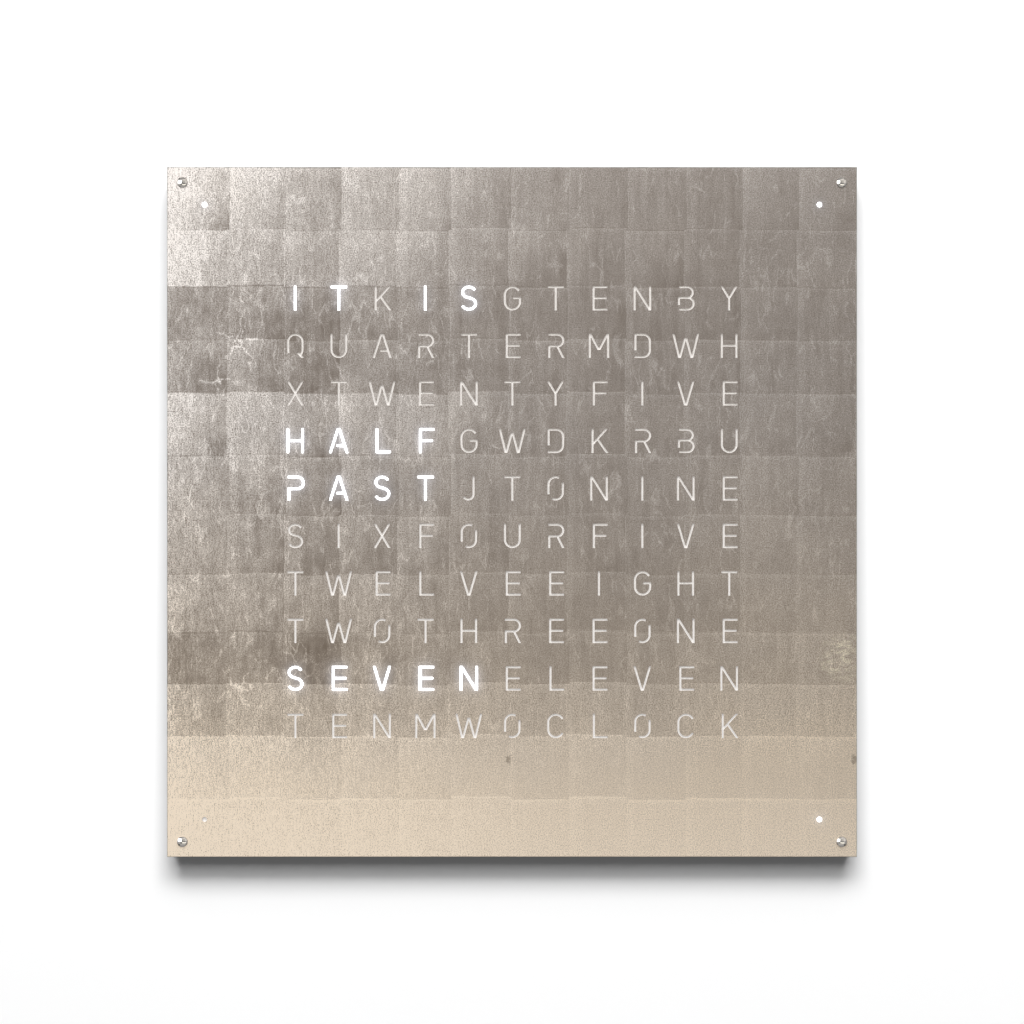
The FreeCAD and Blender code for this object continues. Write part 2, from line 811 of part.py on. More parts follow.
# ---- power inlet: a moulded cup let into the back plate, with the socket in its upper wall ----
inlet_cup = new_body("power_inlet_cup")
brim_rear = size.plate_rear - size.cup_brim_t
for rear, thick, margin in (
    (brim_rear, size.cup_brim_t, size.cup_wall + size.cup_brim),
    (size.plate_rear, size.cup_depth + size.cup_wall, size.cup_wall),
):
    cup_sketch = new_sketch(inlet_cup, "XZ_Plane", rear)
    add_box(cup_sketch, cup_left - margin, cup_low - margin, cup_right + margin, cup_high + margin)
    pad(inlet_cup, cup_sketch, thick)
cup_room = new_sketch(inlet_cup, "XZ_Plane", brim_rear)
add_box(cup_room, cup_left, cup_low, cup_right, cup_high)
pocket(inlet_cup, cup_room, size.cup_brim_t + size.cup_depth)
inlet_rear = plate_front + size.block_gap
barrel_y = -inlet_rear - size.inlet_deep / 2
barrel_hole = new_sketch(inlet_cup, "XY_Plane", cup_high)
add_circle(barrel_hole, notch_x, barrel_y, size.barrel_d + size.snug * 2)
pocket(inlet_cup, barrel_hole, size.cup_wall)

power_inlet = new_body("power_inlet")
barrel = new_sketch(power_inlet, "XY_Plane", cup_high)
add_circle(barrel, notch_x, barrel_y, size.barrel_d)
pad(power_inlet, barrel, size.cup_wall)
inlet_body = new_sketch(power_inlet, "XY_Plane", cup_high + size.cup_wall)
inlet_half = size.inlet_w / 2
inlet_front = inlet_rear + size.inlet_deep
add_box(inlet_body, notch_x - inlet_half, -inlet_front, notch_x + inlet_half, -inlet_rear)
pad(power_inlet, inlet_body, size.inlet_h)
bore = new_sketch(power_inlet, "XY_Plane", cup_high)
add_circle(bore, notch_x, barrel_y, size.bore_d)
pocket(power_inlet, bore, size.bore_depth)
pin = new_sketch(power_inlet, "XY_Plane", cup_high + size.pin_setback)
add_circle(pin, notch_x, barrel_y, size.pin_d)
pad(power_inlet, pin, size.bore_depth)

# ---- three push buttons through the frame's underside, on switches on a small board ----
button_board_front = flange_front + size.board_t
button_board_z = size.bead_reach + size.block_gap + size.button_board_h / 2 - frame_half
nodes.append(box_part(
    "button_board",
    size.button_board_w,
    size.board_t,
    size.button_board_h,
    button_middle,
    flange_front,
    button_board_z,
))
switches = []
stem_room = size.stem_side + size.button_gap * 2
stem_room_deep = size.stem_reach + size.button_travel + size.cover_gap
switch_low = size.switch_front - frame_half
for x in button_places:
    switch_z = switch_low + size.switch_deep / 2
    switch = block(size.switch_w, size.switch_h, size.switch_deep, x, button_board_front, switch_z)
    hole_rear = size.button_depth - stem_room / 2
    hole_z = switch_low + stem_room_deep / 2
    switches.append(switch.cut(block(stem_room, stem_room, stem_room_deep, x, hole_rear, hole_z)))
group("button_switches", switches)

collar_low = size.frame_wall + size.snug
collar_high = collar_low + size.collar_t
for label, x in zip(("hour_button", "minute_button", "mode_button"), button_places):
    button = new_body(label, on_panel=False)
    tie(button, "Placement.Base.x", x)
    tie(button, "Placement.Base.y", -size.button_depth)
    tie(button, "Placement.Base.z", -rail_drop - frame_half)
    cap = new_sketch(button, "XY_Plane", -size.button_proud)
    add_circle(cap, 0, 0, size.button_d)
    pad(button, cap, size.button_proud + collar_low)
    collar = new_sketch(button, "XY_Plane", collar_low)
    add_square(collar, 0, size.collar_side)
    pad(button, collar, size.collar_t)
    stem = new_sketch(button, "XY_Plane", collar_high)
    add_square(stem, 0, size.stem_side)
    pad(button, stem, size.switch_front + size.stem_reach - collar_high)

# ---- front cover: the square panel with the diffuser bonded behind it, the domed studs bonded to
# its corners, and a steel keeper behind each of them ----
front_panel = new_body("front_panel")
panel_sketch = new_sketch(front_panel, "XZ_Plane", size.panel_back)
add_box(panel_sketch, -panel_half, -panel_half, panel_half, panel_half)
for across in (-1, 1):
    for along in (-1, 1):
        add_circle(panel_sketch, dot_place * across, dot_place * along, size.dot_d)
pad(front_panel, panel_sketch, size.panel_t)

diffuser_half = panel_half - size.diffuser_margin
diffuser = new_body("diffuser_sheet")
diffuser_sketch = new_sketch(diffuser, "XZ_Plane", size.panel_back - size.diffuser_t)
add_box(diffuser_sketch, -diffuser_half, -diffuser_half, diffuser_half, diffuser_half)
pad(diffuser, diffuser_sketch, size.diffuser_t)

stud = new_body("stud", node=False, on_panel=False)
stud_sketch = new_sketch(stud, "XY_Plane")
stud_r = size.stud_d / 2
dome_r = (stud_r * stud_r + size.stud_dome * size.stud_dome) / (size.stud_dome * 2)
stud_rim = panel_face + size.stud_rim
add_outline(stud_sketch, [
    (0, -panel_face),
    (stud_r, -panel_face),
    (stud_r, -stud_rim),
    (0, -stud_rim - size.stud_dome),
], domes={2: dome_r})
revolve(stud, stud_sketch)
to_corner = Vector(number(stud_place), 0, number(stud_place))
group("corner_studs", four_corners(stud.Shape.translated(to_corner)))
keeper = block(
    size.keeper_side, size.keeper_t, size.keeper_side, stud_place, keeper_rear, stud_place
)
group("stud_keepers", four_corners(keeper))

# ---- check every object, then write one file for each node ----
doc.recompute()
for thing in doc.Objects:
    if "Invalid" in thing.State or "Error" in thing.State:
        raise ValueError(f"{thing.Label} failed")
for node in nodes:
    if node.Shape.isNull() or not node.Shape.isValid():
        raise ValueError(f"{node.Label} has no valid shape")
os.makedirs("parts", exist_ok=True)
for node in nodes:
    node.Shape.exportStep(f"parts/{node.Label}.step")
print(f"{len(nodes)} nodes written")
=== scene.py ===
import bpy
import numpy as np
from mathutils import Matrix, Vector
from mathutils.geometry import delaunay_2d_cdt


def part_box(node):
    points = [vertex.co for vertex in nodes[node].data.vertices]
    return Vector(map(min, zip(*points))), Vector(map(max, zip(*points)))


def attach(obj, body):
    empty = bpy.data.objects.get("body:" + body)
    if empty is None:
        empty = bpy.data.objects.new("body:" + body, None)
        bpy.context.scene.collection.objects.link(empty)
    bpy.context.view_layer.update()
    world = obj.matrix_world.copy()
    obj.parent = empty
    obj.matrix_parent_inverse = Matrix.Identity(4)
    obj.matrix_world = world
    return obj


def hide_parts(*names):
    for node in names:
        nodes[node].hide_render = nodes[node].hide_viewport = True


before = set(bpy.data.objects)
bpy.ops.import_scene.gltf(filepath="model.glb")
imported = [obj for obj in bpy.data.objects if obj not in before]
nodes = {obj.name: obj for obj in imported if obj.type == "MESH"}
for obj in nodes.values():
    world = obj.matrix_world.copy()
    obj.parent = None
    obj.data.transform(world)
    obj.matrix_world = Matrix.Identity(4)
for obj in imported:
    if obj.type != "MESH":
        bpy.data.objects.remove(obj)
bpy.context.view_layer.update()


# ---- wall rail ----
# The part that stays on the wall: aluminium sheet folded to a step whose lip carries the clock, and
# punched for two screws. It is left in mill finish, with the fine lines of rolling along it.


class Wire:
    """An output socket among a material's nodes. Arithmetic on wires adds Math nodes."""

    def __init__(self, socket):
        self.socket = socket

    def add(self, kind, settings=None, sockets=None, out=0):
        """One more node: its settings are set first, then the values or links of its sockets."""
        tree = self.socket.id_data
        node = tree.nodes.new(kind)
        for name, value in (settings or {}).items():
            if name == "stops":
                fill_ramp(node.color_ramp, value)
            else:
                setattr(node, name, value)
        for name, value in (sockets or {}).items():
            if isinstance(value, Wire):
                tree.links.new(value.socket, node.inputs[name])
            else:
                node.inputs[name].default_value = value
        return Wire(node.outputs[out])

    def maths(self, operation, first, second=0.0):
        """One Math node on values or wires."""
        return self.add("ShaderNodeMath", {"operation": operation}, {0: first, 1: second})

    def __add__(self, other):
        return self.maths("ADD", self, other)

    def __sub__(self, other):
        return self.maths("SUBTRACT", self, other)

    def __rsub__(self, other):
        return self.maths("SUBTRACT", other, self)

    def __mul__(self, other):
        return self.maths("MULTIPLY", self, other)

    def __truediv__(self, other):
        return self.maths("DIVIDE", self, other)

    def __pow__(self, other):
        return self.maths("POWER", self, other)

    def __abs__(self):
        return self.maths("ABSOLUTE", self)

    __radd__ = __add__
    __rmul__ = __mul__

    def floor(self):
        """The whole number below."""
        return self.maths("FLOOR", self)

    def fraction(self):
        """What is over the whole number below."""
        return self.maths("FRACT", self)

    def most(self, other):
        """The greater of this and another."""
        return self.maths("MAXIMUM", self, other)

    def ramp(self, low, high):
        """0 below low, 1 above high, and a smooth rise between. If low is above high, it falls."""
        ends = {"Value": self, "From Min": low, "From Max": high}
        return self.add("ShaderNodeMapRange", {"interpolation_type": "SMOOTHSTEP"}, ends)

    def tint(self, low, high):
        """The colour low where this wire is 0, and high where it is 1."""
        return self.add("ShaderNodeMix", {"data_type": "RGBA"}, {0: self, 6: low, 7: high}, out=2)

    def steps(self, values):
        """The first value where this wire lies from 0 to 1, the next from 1 to 2, and so on."""
        return self.add("ShaderNodeValToRGB", {"stops": values}, {0: self / len(values)})

    def passed(self, marks):
        """How many of these marks after the first this wire has passed, with the share of the way to
        the next. The marks are in millimetres, and the wire is in metres."""
        count = 0.0
        for low, high in zip(marks, marks[1:]):
            ends = {"Value": self, "From Min": low / 1000, "From Max": high / 1000}
            count = self.add("ShaderNodeMapRange", None, ends) + count
        return count

    def vector_maths(self, operation, other):
        """This vector and another through one Vector Math node, axis by axis."""
        return self.add("ShaderNodeVectorMath", {"operation": operation}, {0: self, 1: other})

    def times(self, scale):
        """This vector times another, axis by axis."""
        return self.vector_maths("MULTIPLY", scale)

    def warped(self, scale, reach):
        """This vector plus three noises of this scale, less their mean of a half and times 4 reach.
        Noise seldom strays further than a quarter from its mean, so it moves by about reach."""
        noises = self.add("ShaderNodeTexNoise", None, {"Vector": self, "Scale": scale}, out=1)
        sway = noises.vector_maths("SUBTRACT", (0.5, 0.5, 0.5))
        return self.vector_maths("ADD", sway.times((reach * 4,) * 3))

    def cracks(self, width):
        """1 on the lines between scattered cells and 0 at this distance from them."""
        settings = {"feature": "DISTANCE_TO_EDGE"}
        sockets = {"Vector": self, "Scale": 1.0}
        return 1 - self.add("ShaderNodeTexVoronoi", settings, sockets).ramp(0.0, width)

    def axes(self):
        """The three numbers of this vector."""
        return [self.add("ShaderNodeSeparateXYZ", None, {0: self}, out) for out in range(3)]

    def joined(self, across, up, deep=0.0):
        """A vector of three numbers."""
        return self.add("ShaderNodeCombineXYZ", None, {0: across, 1: up, 2: deep})

    def noise(self, scale, detail=2.0, distortion=0.0):
        """Smooth noise about 0.5, with scale spots to a metre, detail layers of ever finer noise, and
        its pattern bent by distortion."""
        sockets = {"Vector": self, "Scale": scale, "Detail": detail, "Distortion": distortion}
        return self.add("ShaderNodeTexNoise", None, sockets)

    def chance(self):
        """Three numbers from 0 to 1 that are fixed for each value of this vector."""
        settings = {"noise_dimensions": "3D"}
        return self.add("ShaderNodeTexWhiteNoise", settings, {"Vector": self}, out=1).axes()

    def bump(self, strength, distance):
        """The surface normal over this height, for a height of distance metres at 1."""
        sockets = {"Strength": strength, "Distance": distance, "Height": self}
        return self.add("ShaderNodeBump", None, sockets)


def fill_ramp(ramp, values):
    """Gives a colour ramp one grey for each value, at even steps and with sharp changes."""
    ramp.interpolation = "CONSTANT"
    while len(ramp.elements) < len(values):
        ramp.elements.new(1.0)
    for k, value in enumerate(values):
        ramp.elements[k].position = k / len(values)
        ramp.elements[k].color = (value, value, value, 1)


def new_finish(name):
    """A new material, and the wire of its object coordinates in metres."""
    material = bpy.data.materials.new(name)
    material.use_nodes = True
    coordinates = material.node_tree.nodes.new("ShaderNodeTexCoord")
    return material, Wire(coordinates.outputs["Object"])


def set_surface(material, sockets):
    """Gives values or wires to the sockets of the material's shader."""
    shader = material.node_tree.nodes["Principled BSDF"]
    for name, value in sockets.items():
        if isinstance(value, Wire):
            material.node_tree.links.new(value.socket, shader.inputs[name])
        else:
            shader.inputs[name].default_value = value
    return material


def put_on(material, *names):
    """Puts a finish on CAD nodes."""
    for name in names:
        for slot in nodes[name].material_slots:
            slot.material = material


def drawn_metal(name, dark, light, roughness, stretch):
    """Metal with fine lines: noise stretched along one axis shades its colour and its roughness."""
    material, place = new_finish(name)
    lines = place.times(stretch).noise(1.0, 3.0)
    clouds = place.noise(14.0, 3.0)
    shade = (lines * 0.6 + clouds * 0.4).ramp(0.3, 0.7)
    return set_surface(material, {
        "Base Color": shade.tint(dark, light),
        "Metallic": 1.0,
        "Roughness": roughness + shade * 0.12,
        "Normal": lines.bump(0.15, 0.0002),
    })


mill_metal = drawn_metal(
    "rolled_aluminium",
    dark=(0.60, 0.61, 0.62, 1),
    light=(0.78, 0.79, 0.80, 1),
    roughness=0.32,
    stretch=(6, 900, 900),
)
put_on(mill_metal, "wall_rail", "hanger_rail")

# ---- hanger bolts and keepers ----
# Zinc-plated steel: three hexagon bolts with nuts join the hanger rail to the back plate, and four
# square keepers behind the panel's corners sit on the magnets. The plating has a faint mottle.
zinc, place = new_finish("zinc_plate")
mottle = place.noise(420.0, 4.0).ramp(0.35, 0.65)
set_surface(zinc, {
    "Base Color": mottle.tint((0.50, 0.51, 0.53, 1), (0.66, 0.66, 0.64, 1)),
    "Metallic": 1.0,
    "Roughness": 0.28 + mottle * 0.14,
    "Normal": mottle.bump(0.1, 0.0001),
})
put_on(zinc, "hanger_bolts", "stud_keepers")

# ---- mitred frame ----
# Four lengths of one aluminium extrusion, mitred and joined at the corners, satin anodised. The die
# leaves faint lines along each length.
FRAME_LENGTHS = (
    ("level", (5, 1400, 1400), ("frame_top", "frame_bottom")),
    ("upright", (1400, 1400, 5), ("frame_left", "frame_right")),
)
for direction, stretch, lengths in FRAME_LENGTHS:
    anodised = drawn_metal(
        f"satin_anodised_{direction}",
        dark=(0.50, 0.50, 0.51, 1),
        light=(0.62, 0.62, 0.63, 1),
        roughness=0.36,
        stretch=stretch,
    )
    put_on(anodised, *lengths)

# ---- back plate ----
# Aluminium sheet, slid into the frame's rear groove before the last side goes on, and powder coated
# in a fine matt texture.
powder, place = new_finish("powder_coat")
peel = place.noise(1300.0, 2.0)
clouds = place.noise(9.0, 3.0)
shade = (peel * 0.6 + clouds * 0.4).ramp(0.3, 0.7)
set_surface(powder, {
    "Base Color": shade.tint((0.020, 0.020, 0.022, 1), (0.045, 0.045, 0.048, 1)),
    "Roughness": 0.50 + clouds * 0.15,
    "Normal": peel.bump(0.35, 0.0003),
})
put_on(powder, "back_plate")


# ---- rubber, foam and moulded pieces ----
# The wall bumpers are rubber and the light seal is closed-cell foam. The corner blocks, the inlet
# and its cup, the board bars, the switches, the cell's holder and the chip are moulded in black
# plastic with a light spark-eroded texture.


def moulded(name, dark, light, roughness, grain, depth):
    """Plastic or rubber: fine noise gives the texture, and broad noise a slight change of shade."""
    material, place = new_finish(name)
    texture = place.noise(grain, 2.0)
    clouds = place.noise(30.0, 2.0)
    return set_surface(material, {
        "Base Color": (texture * 0.5 + clouds * 0.5).ramp(0.3, 0.7).tint(dark, light),
        "Roughness": roughness + clouds * 0.1,
        "Normal": texture.bump(0.3, depth),
    })


bumper_rubber = moulded(
    "bumper_rubber",
    dark=(0.018, 0.018, 0.018, 1),
    light=(0.035, 0.034, 0.033, 1),
    roughness=0.72,
    grain=600,
    depth=0.0002,
)
put_on(bumper_rubber, "wall_bumpers")
seal_foam = moulded(
    "seal_foam",
    dark=(0.015, 0.015, 0.016, 1),
    light=(0.045, 0.045, 0.046, 1),
    roughness=0.85,
    grain=1500,
    depth=0.0005,
)
put_on(seal_foam, "light_seal")
black_moulding = moulded(
    "black_moulding",
    dark=(0.022, 0.022, 0.024, 1),
    light=(0.038, 0.038, 0.04, 1),
    roughness=0.5,
    grain=1100,
    depth=0.0002,
)
put_on(
    black_moulding,
    "corner_block_top_left",
    "corner_block_top_right",
    "corner_block_bottom_left",
    "corner_block_bottom_right",
    "board_bars",
    "power_inlet_cup",
    "power_inlet",
    "button_switches",
    "microcontroller",
    "coin_cell_holder",
)

# ---- corner magnets ----
# Square neodymium magnets, nickel plated and pressed into the corner blocks. The coin cell and the
# cans of the crystal, the radio module and the capacitor have the same bright finish.
nickel, place = new_finish("nickel_plate")
tarnish = place.noise(180.0, 4.0).ramp(0.35, 0.7)
set_surface(nickel, {
    "Base Color": tarnish.tint((0.70, 0.66, 0.58, 1), (0.80, 0.77, 0.71, 1)),
    "Metallic": 1.0,
    "Roughness": 0.16 + tarnish * 0.12,
})
put_on(nickel, "corner_magnets", "coin_cell", "clock_crystal", "radio_module", "capacitor")

# ---- light grid ----
# Matt white plastic slats, half-lapped into a grid that keeps each letter's light to itself. The
# boards' connectors are moulded in the same white.
slat_white = moulded(
    "slat_white",
    dark=(0.74, 0.74, 0.72, 1),
    light=(0.84, 0.84, 0.82, 1),
    roughness=0.55,
    grain=900,
    depth=0.0001,
)
put_on(slat_white, "upright_slats", "level_slats", "board_connectors")

# ---- LED strips and boards ----
# Circuit boards: white solder mask on the strips and corner boards, green on the controller and
# button boards, with copper runs under the mask.


def circuit_board(name, mask, copper, pitch):
    """A lacquered board: bands of a wavy grid show where copper runs lie under the mask."""
    material, place = new_finish(name)
    across, _, up = place.axes()
    waver = place.noise(60.0, 1.0) * 0.6
    runs = abs((across / pitch + waver).fraction() - 0.5).ramp(0.2, 0.24)
    lanes = abs((up / pitch + waver).fraction() - 0.5).ramp(0.34, 0.38)
    lines = runs.most(lanes)
    return set_surface(material, {
        "Base Color": lines.tint(mask, copper),
        "Roughness": 0.32,
        "Coat Weight": 0.4,
        "Normal": lines.bump(0.2, 0.0001),
    })


white_board = circuit_board(
    "white_board", mask=(0.78, 0.79, 0.78, 1), copper=(0.70, 0.70, 0.66, 1), pitch=0.003
)
led_strips = [name for name in nodes if name.startswith("led_strip_")]
put_on(white_board, *led_strips, "strip_links", "corner_led_boards")
green_board = circuit_board(
    "green_board", mask=(0.012, 0.10, 0.045, 1), copper=(0.03, 0.19, 0.08, 1), pitch=0.0022
)
put_on(green_board, "controller_board", "button_board")

# ---- LEDs ----
# White packages 5 mm square, soldered on the strips and corner boards, with a round window of
# yellow phosphor in the front. One stands behind each letter and each minute dot.
LED_SIDE = 0.005
WINDOW_RADIUS = 0.0021
WINDOW_DEPTH = 0.0001
# the time is told in words of these rows, which hold every word that a five-minute clock needs, in
# the order in which they are read, and filling letters between them
LETTER_ROWS = (
    "ITKISGTENBY",
    "QUARTERMDWH",
    "XTWENTYFIVE",
    "HALFGWDKRBU",
    "PASTJTONINE",
    "SIXFOURFIVE",
    "TWELVEEIGHT",
    "TWOTHREEONE",
    "SEVENELEVEN",
    "TENMWOCLOCK",
)
# the words that are lit, as row, first column and the column after the last: it is half past seven
LIT_WORDS = ((0, 0, 2), (0, 3, 5), (3, 0, 4), (4, 0, 4), (8, 0, 5))
# the corners of the minute dots in the order in which they light: each adds a minute
DOT_CORNERS = ((-1, 1), (1, 1), (1, -1), (-1, -1))
LIT_DOTS = 3
# a lit word fades out over this share of a cell at its ends
SOFT_END = 0.02
panel_low, panel_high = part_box("front_panel")
panel_middle = (panel_low + panel_high) / 2
led_low, led_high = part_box("letter_leds")
column_pitch = (led_high.x - led_low.x - LED_SIDE) / (len(LETTER_ROWS[0]) - 1)
row_pitch = (led_high.z - led_low.z - LED_SIDE) / (len(LETTER_ROWS) - 1)
dot_low, dot_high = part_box("corner_leds")
dot_reach = (dot_high.x - dot_low.x - LED_SIDE) / 2


def cells(place):
    """The column and row of the letter grid at a place, counted from 0 at the upper left corner."""
    across, _, up = place.axes()
    letter_column = across / column_pitch + len(LETTER_ROWS[0]) / 2
    letter_row = len(LETTER_ROWS) / 2 - (up - panel_middle.z) / row_pitch
    return letter_column, letter_row


def lit_cells(letter_column, letter_row):
    """1 in each cell of the letter grid that belongs to a lit word, and 0 elsewhere."""
    lit = 0.0
    for row, first_column, last_column in LIT_WORDS:
        in_row = 1 - abs(letter_row - (row + 0.5)).ramp(0.5 - SOFT_END, 0.5)
        middle = (first_column + last_column) / 2
        half = middle - first_column
        in_word = 1 - abs(letter_column - middle).ramp(half - SOFT_END, half)
        lit = in_row * in_word + lit
    return lit


def disc(across, up, radius):
    """1 within this distance of the place where both wires are 0, softened over the outer fifth."""
    return 1 - (across ** 2 + up ** 2).ramp((radius * 0.8) ** 2, radius ** 2)


def dot_discs(place, radius, lit_only=False):
    """1 within this distance of each minute dot, or only of the dots that are lit."""
    across, _, up = place.axes()
    discs = 0.0
    corners = DOT_CORNERS[:LIT_DOTS] if lit_only else DOT_CORNERS
    for x, z in corners:
        above = up - panel_middle.z - z * dot_reach
        discs = disc(across - x * dot_reach, above, radius) + discs
    return discs


def led_finish(name, at_corners):
    """A white package whose window, on its front alone, glows where the LED is lit."""
    material, place = new_finish(name)
    if at_corners:
        window = dot_discs(place, WINDOW_RADIUS)
        lit = dot_discs(place, LED_SIDE, lit_only=True)
    else:
        letter_column, letter_row = cells(place)
        across = (letter_column.fraction() - 0.5) * column_pitch
        up = (letter_row.fraction() - 0.5) * row_pitch
        window = disc(across, up, WINDOW_RADIUS)
        lit = lit_cells(letter_column, letter_row)
    resin = place.noise(900.0, 2.0)
    window_foot = led_low.y + WINDOW_DEPTH
    on_front = 1 - place.axes()[1].ramp(window_foot, window_foot + WINDOW_DEPTH)
    glass = window * on_front
    phosphor = resin.tint((0.82, 0.62, 0.16, 1), (0.92, 0.74, 0.26, 1))
    package = resin.tint((0.80, 0.80, 0.77, 1), (0.88, 0.88, 0.86, 1))
    return set_surface(material, {
        "Base Color": glass.tint(package, phosphor),
        "Roughness": 0.42 - glass * 0.22,
        "Normal": (resin * 0.3 - glass).bump(0.4, 0.0001),
        "Emission Color": (glass * lit).tint((0, 0, 0, 1), (1.0, 0.96, 0.88, 1)),
        "Emission Strength": 6.0,
    })


put_on(led_finish("letter_led", at_corners=False), "letter_leds")
put_on(led_finish("corner_led", at_corners=True), "corner_leds")

# ---- buttons ----
# Three moulded caps in the lower edge, with a dished foot and a rounded rim. A square collar inside
# the frame's wall keeps each from falling out, and a square stem works its switch.
FRAME_WALL = 0.002
COLLAR_PLAY = 0.0001
COLLAR_THICK = 0.001
COLLAR_EDGE = 0.0002
CAP_RADIUS = 0.004
STEM_HALF = 0.0017
STEM_EDGE = 0.0003
# the dish in a cap's foot and the rim round it: radius of each ring, and its height over the foot
DISH = (
    (0.0012, 0.00028),
    (0.0024, 0.0002),
    (0.0032, 0.00005),
    (0.0034, 0.0),
    (0.0037, 0.00008),
    (0.0039, 0.00028),
    (CAP_RADIUS, 0.0006),
)
ROUND = 2
SQUARE = 14
SHARP_ANGLE = np.radians(50)


def squarish(half, squareness, steps=64):
    """A ring of points from circle to rounded square: x and y are the half width times cosine and
    sine, each with its size raised to 2 / squareness and its sign kept. 2 gives a circle."""
    angle = np.radians(np.linspace(0, 360, steps + 1)[:-1])
    ring = np.stack([np.cos(angle), np.sin(angle)], axis=1)
    return half * np.sign(ring) * np.abs(ring) ** (2 / squareness)


def stacked_rings(rings, heights, x, y, top):
    """A closed mesh of rings of points about x and y, one at each height, joined by quads. A point
    in the middle of the first ring closes its foot, and one at the height top closes the last."""
    count = len(rings[0])
    heights = np.asarray(heights)
    levels = np.column_stack([np.concatenate(rings) + (x, y), np.repeat(heights, count)])
    points = np.concatenate([levels, [(x, y, heights[0])], [(x, y, top)]])
    grid = np.arange(len(rings) * count).reshape(len(rings), count)
    beside = np.roll(grid, -1, axis=1)
    sides = np.stack([grid[:-1], beside[:-1], beside[1:], grid[1:]], axis=2).reshape(-1, 4)
    foot_point, top_point = len(points) - 2, len(points) - 1
    ends = [(b, a, foot_point) for a, b in zip(grid[0].tolist(), beside[0].tolist())]
    ends += [(a, b, top_point) for a, b in zip(grid[-1].tolist(), beside[-1].tolist())]
    return points, sides.tolist() + ends


satin_cap = moulded(
    "button_cap",
    dark=(0.03, 0.03, 0.032, 1),
    light=(0.045, 0.045, 0.048, 1),
    roughness=0.34,
    grain=900,
    depth=0.0001,
)
collar_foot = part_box("frame_bottom")[0].z + FRAME_WALL + COLLAR_PLAY
collar_top = collar_foot + COLLAR_THICK
for name in ("hour_button", "minute_button", "mode_button"):
    low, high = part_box(name)
    collar_half = (high.x - low.x) / 2
    # half width, squareness and height of each ring, from the dish in the foot up to the stem
    steps = [(radius, ROUND, low.z + height) for radius, height in DISH]
    steps += [
        (CAP_RADIUS, ROUND, collar_foot),
        (collar_half - COLLAR_EDGE, SQUARE, collar_foot),
        (collar_half, SQUARE, collar_foot + COLLAR_EDGE),
        (collar_half, SQUARE, collar_top - COLLAR_EDGE),
        (collar_half - COLLAR_EDGE, SQUARE, collar_top),
        (STEM_HALF, SQUARE, collar_top),
        (STEM_HALF, SQUARE, high.z - STEM_EDGE),
        (STEM_HALF - STEM_EDGE, SQUARE, high.z),
    ]
    points, faces = stacked_rings(
        [squarish(half, squareness) for half, squareness, _ in steps],
        [height for _, _, height in steps],
        (low.x + high.x) / 2,
        (low.y + high.y) / 2,
        high.z,
    )
    cap_mesh = bpy.data.meshes.new(f"{name}_cap")
    cap_mesh.from_pydata(points.tolist(), [], faces)
    cap_mesh.shade_smooth()
    cap_mesh.set_sharp_from_angle(angle=SHARP_ANGLE)
    cap_mesh.materials.append(satin_cap)
    cap = bpy.data.objects.new(f"{name}_cap", cap_mesh)
    bpy.context.scene.collection.objects.link(cap)
    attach(cap, name)
    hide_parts(name)

# ---- front panel ----
# A square aluminium sheet, 2 mm thick, with the letters and the four minute dots cut through by
# laser. Its face is laid with squares of silver-coloured metal leaf that lap each other, and
# lacquered.
panel_half = (panel_high.x - panel_low.x) / 2
EDGE = 0.0006
DOT_RADIUS = 0.00325
# the letters are stencils, so that no island of metal falls out: each is a set of strokes of one
# width, and its counters stay joined to the panel by gaps between them. Their sizes are in
# millimetres from a letter's middle: the half height of its outline, the stroke's width, and the
# half height of the middle of its level strokes
HIGH = 16.0
STROKE = 2.8
BAR = HIGH - STROKE / 2


def leg(x0, y0, x1, y1):
    """A straight stroke cut level at both ends: each end, moved half its level width each way."""
    half = STROKE / 2 * np.hypot(x1 - x0, y1 - y0) / abs(y1 - y0)
    return np.array([(x0 - half, y0), (x0 + half, y0), (x1 + half, y1), (x1 - half, y1)])


def level(x0, x1, y):
    """A level stroke: its two ends, moved half its width up and down."""
    half = STROKE / 2
    return np.array([(x0, y - half), (x1, y - half), (x1, y + half), (x0, y + half)])


def arc(x, y, wide, high, start, stop, steps=10):
    """Points on an ellipse, in degrees: its centre plus the radii wide and high times cosine and
    sine."""
    angle = np.radians(np.linspace(start, stop, steps + 1))
    return np.stack([x + wide * np.cos(angle), y + high * np.sin(angle)], axis=1)


def bow(*runs):
    """A stroke carried along points: each is moved half a stroke to both sides along the mean of
    the normals of the two runs that meet there, longer where they turn so that the width holds."""
    path = np.concatenate([np.atleast_2d(run) for run in runs])
    # a point that repeats the last one is dropped
    path = path[np.append(True, np.hypot(*np.diff(path, axis=0).T) > 1e-6)]
    runs = np.diff(path, axis=0)
    runs /= np.hypot(*runs.T)[:, None]
    before = np.concatenate([runs[:1], runs])
    after = np.concatenate([runs, runs[-1:]])
    normal = np.stack([-(before + after)[:, 1], (before + after)[:, 0]], axis=1)
    normal /= np.hypot(*normal.T)[:, None]
    normal_after = np.stack([-after[:, 1], after[:, 0]], axis=1)
    side = normal * (STROKE / 2 / (normal * normal_after).sum(1))[:, None]
    return np.concatenate([path + side, (path - side)[::-1]])


def round_letter(middle, half, *spans):
    """Pieces of a tall ring, two half circles joined by straight sides, over spans of degrees, with
    a point at least every 8 degrees."""
    rise = BAR - half
    pieces = []
    for start, stop in spans:
        angle = np.radians(np.linspace(start, stop, int(abs(stop - start) / 8) + 2))
        ring = np.stack([middle + np.cos(angle) * half, np.sin(angle) * half], axis=1)
        ring[:, 1] += np.where(np.sin(angle) >= 0, rise, -rise)
        pieces.append(bow(ring))
    return pieces


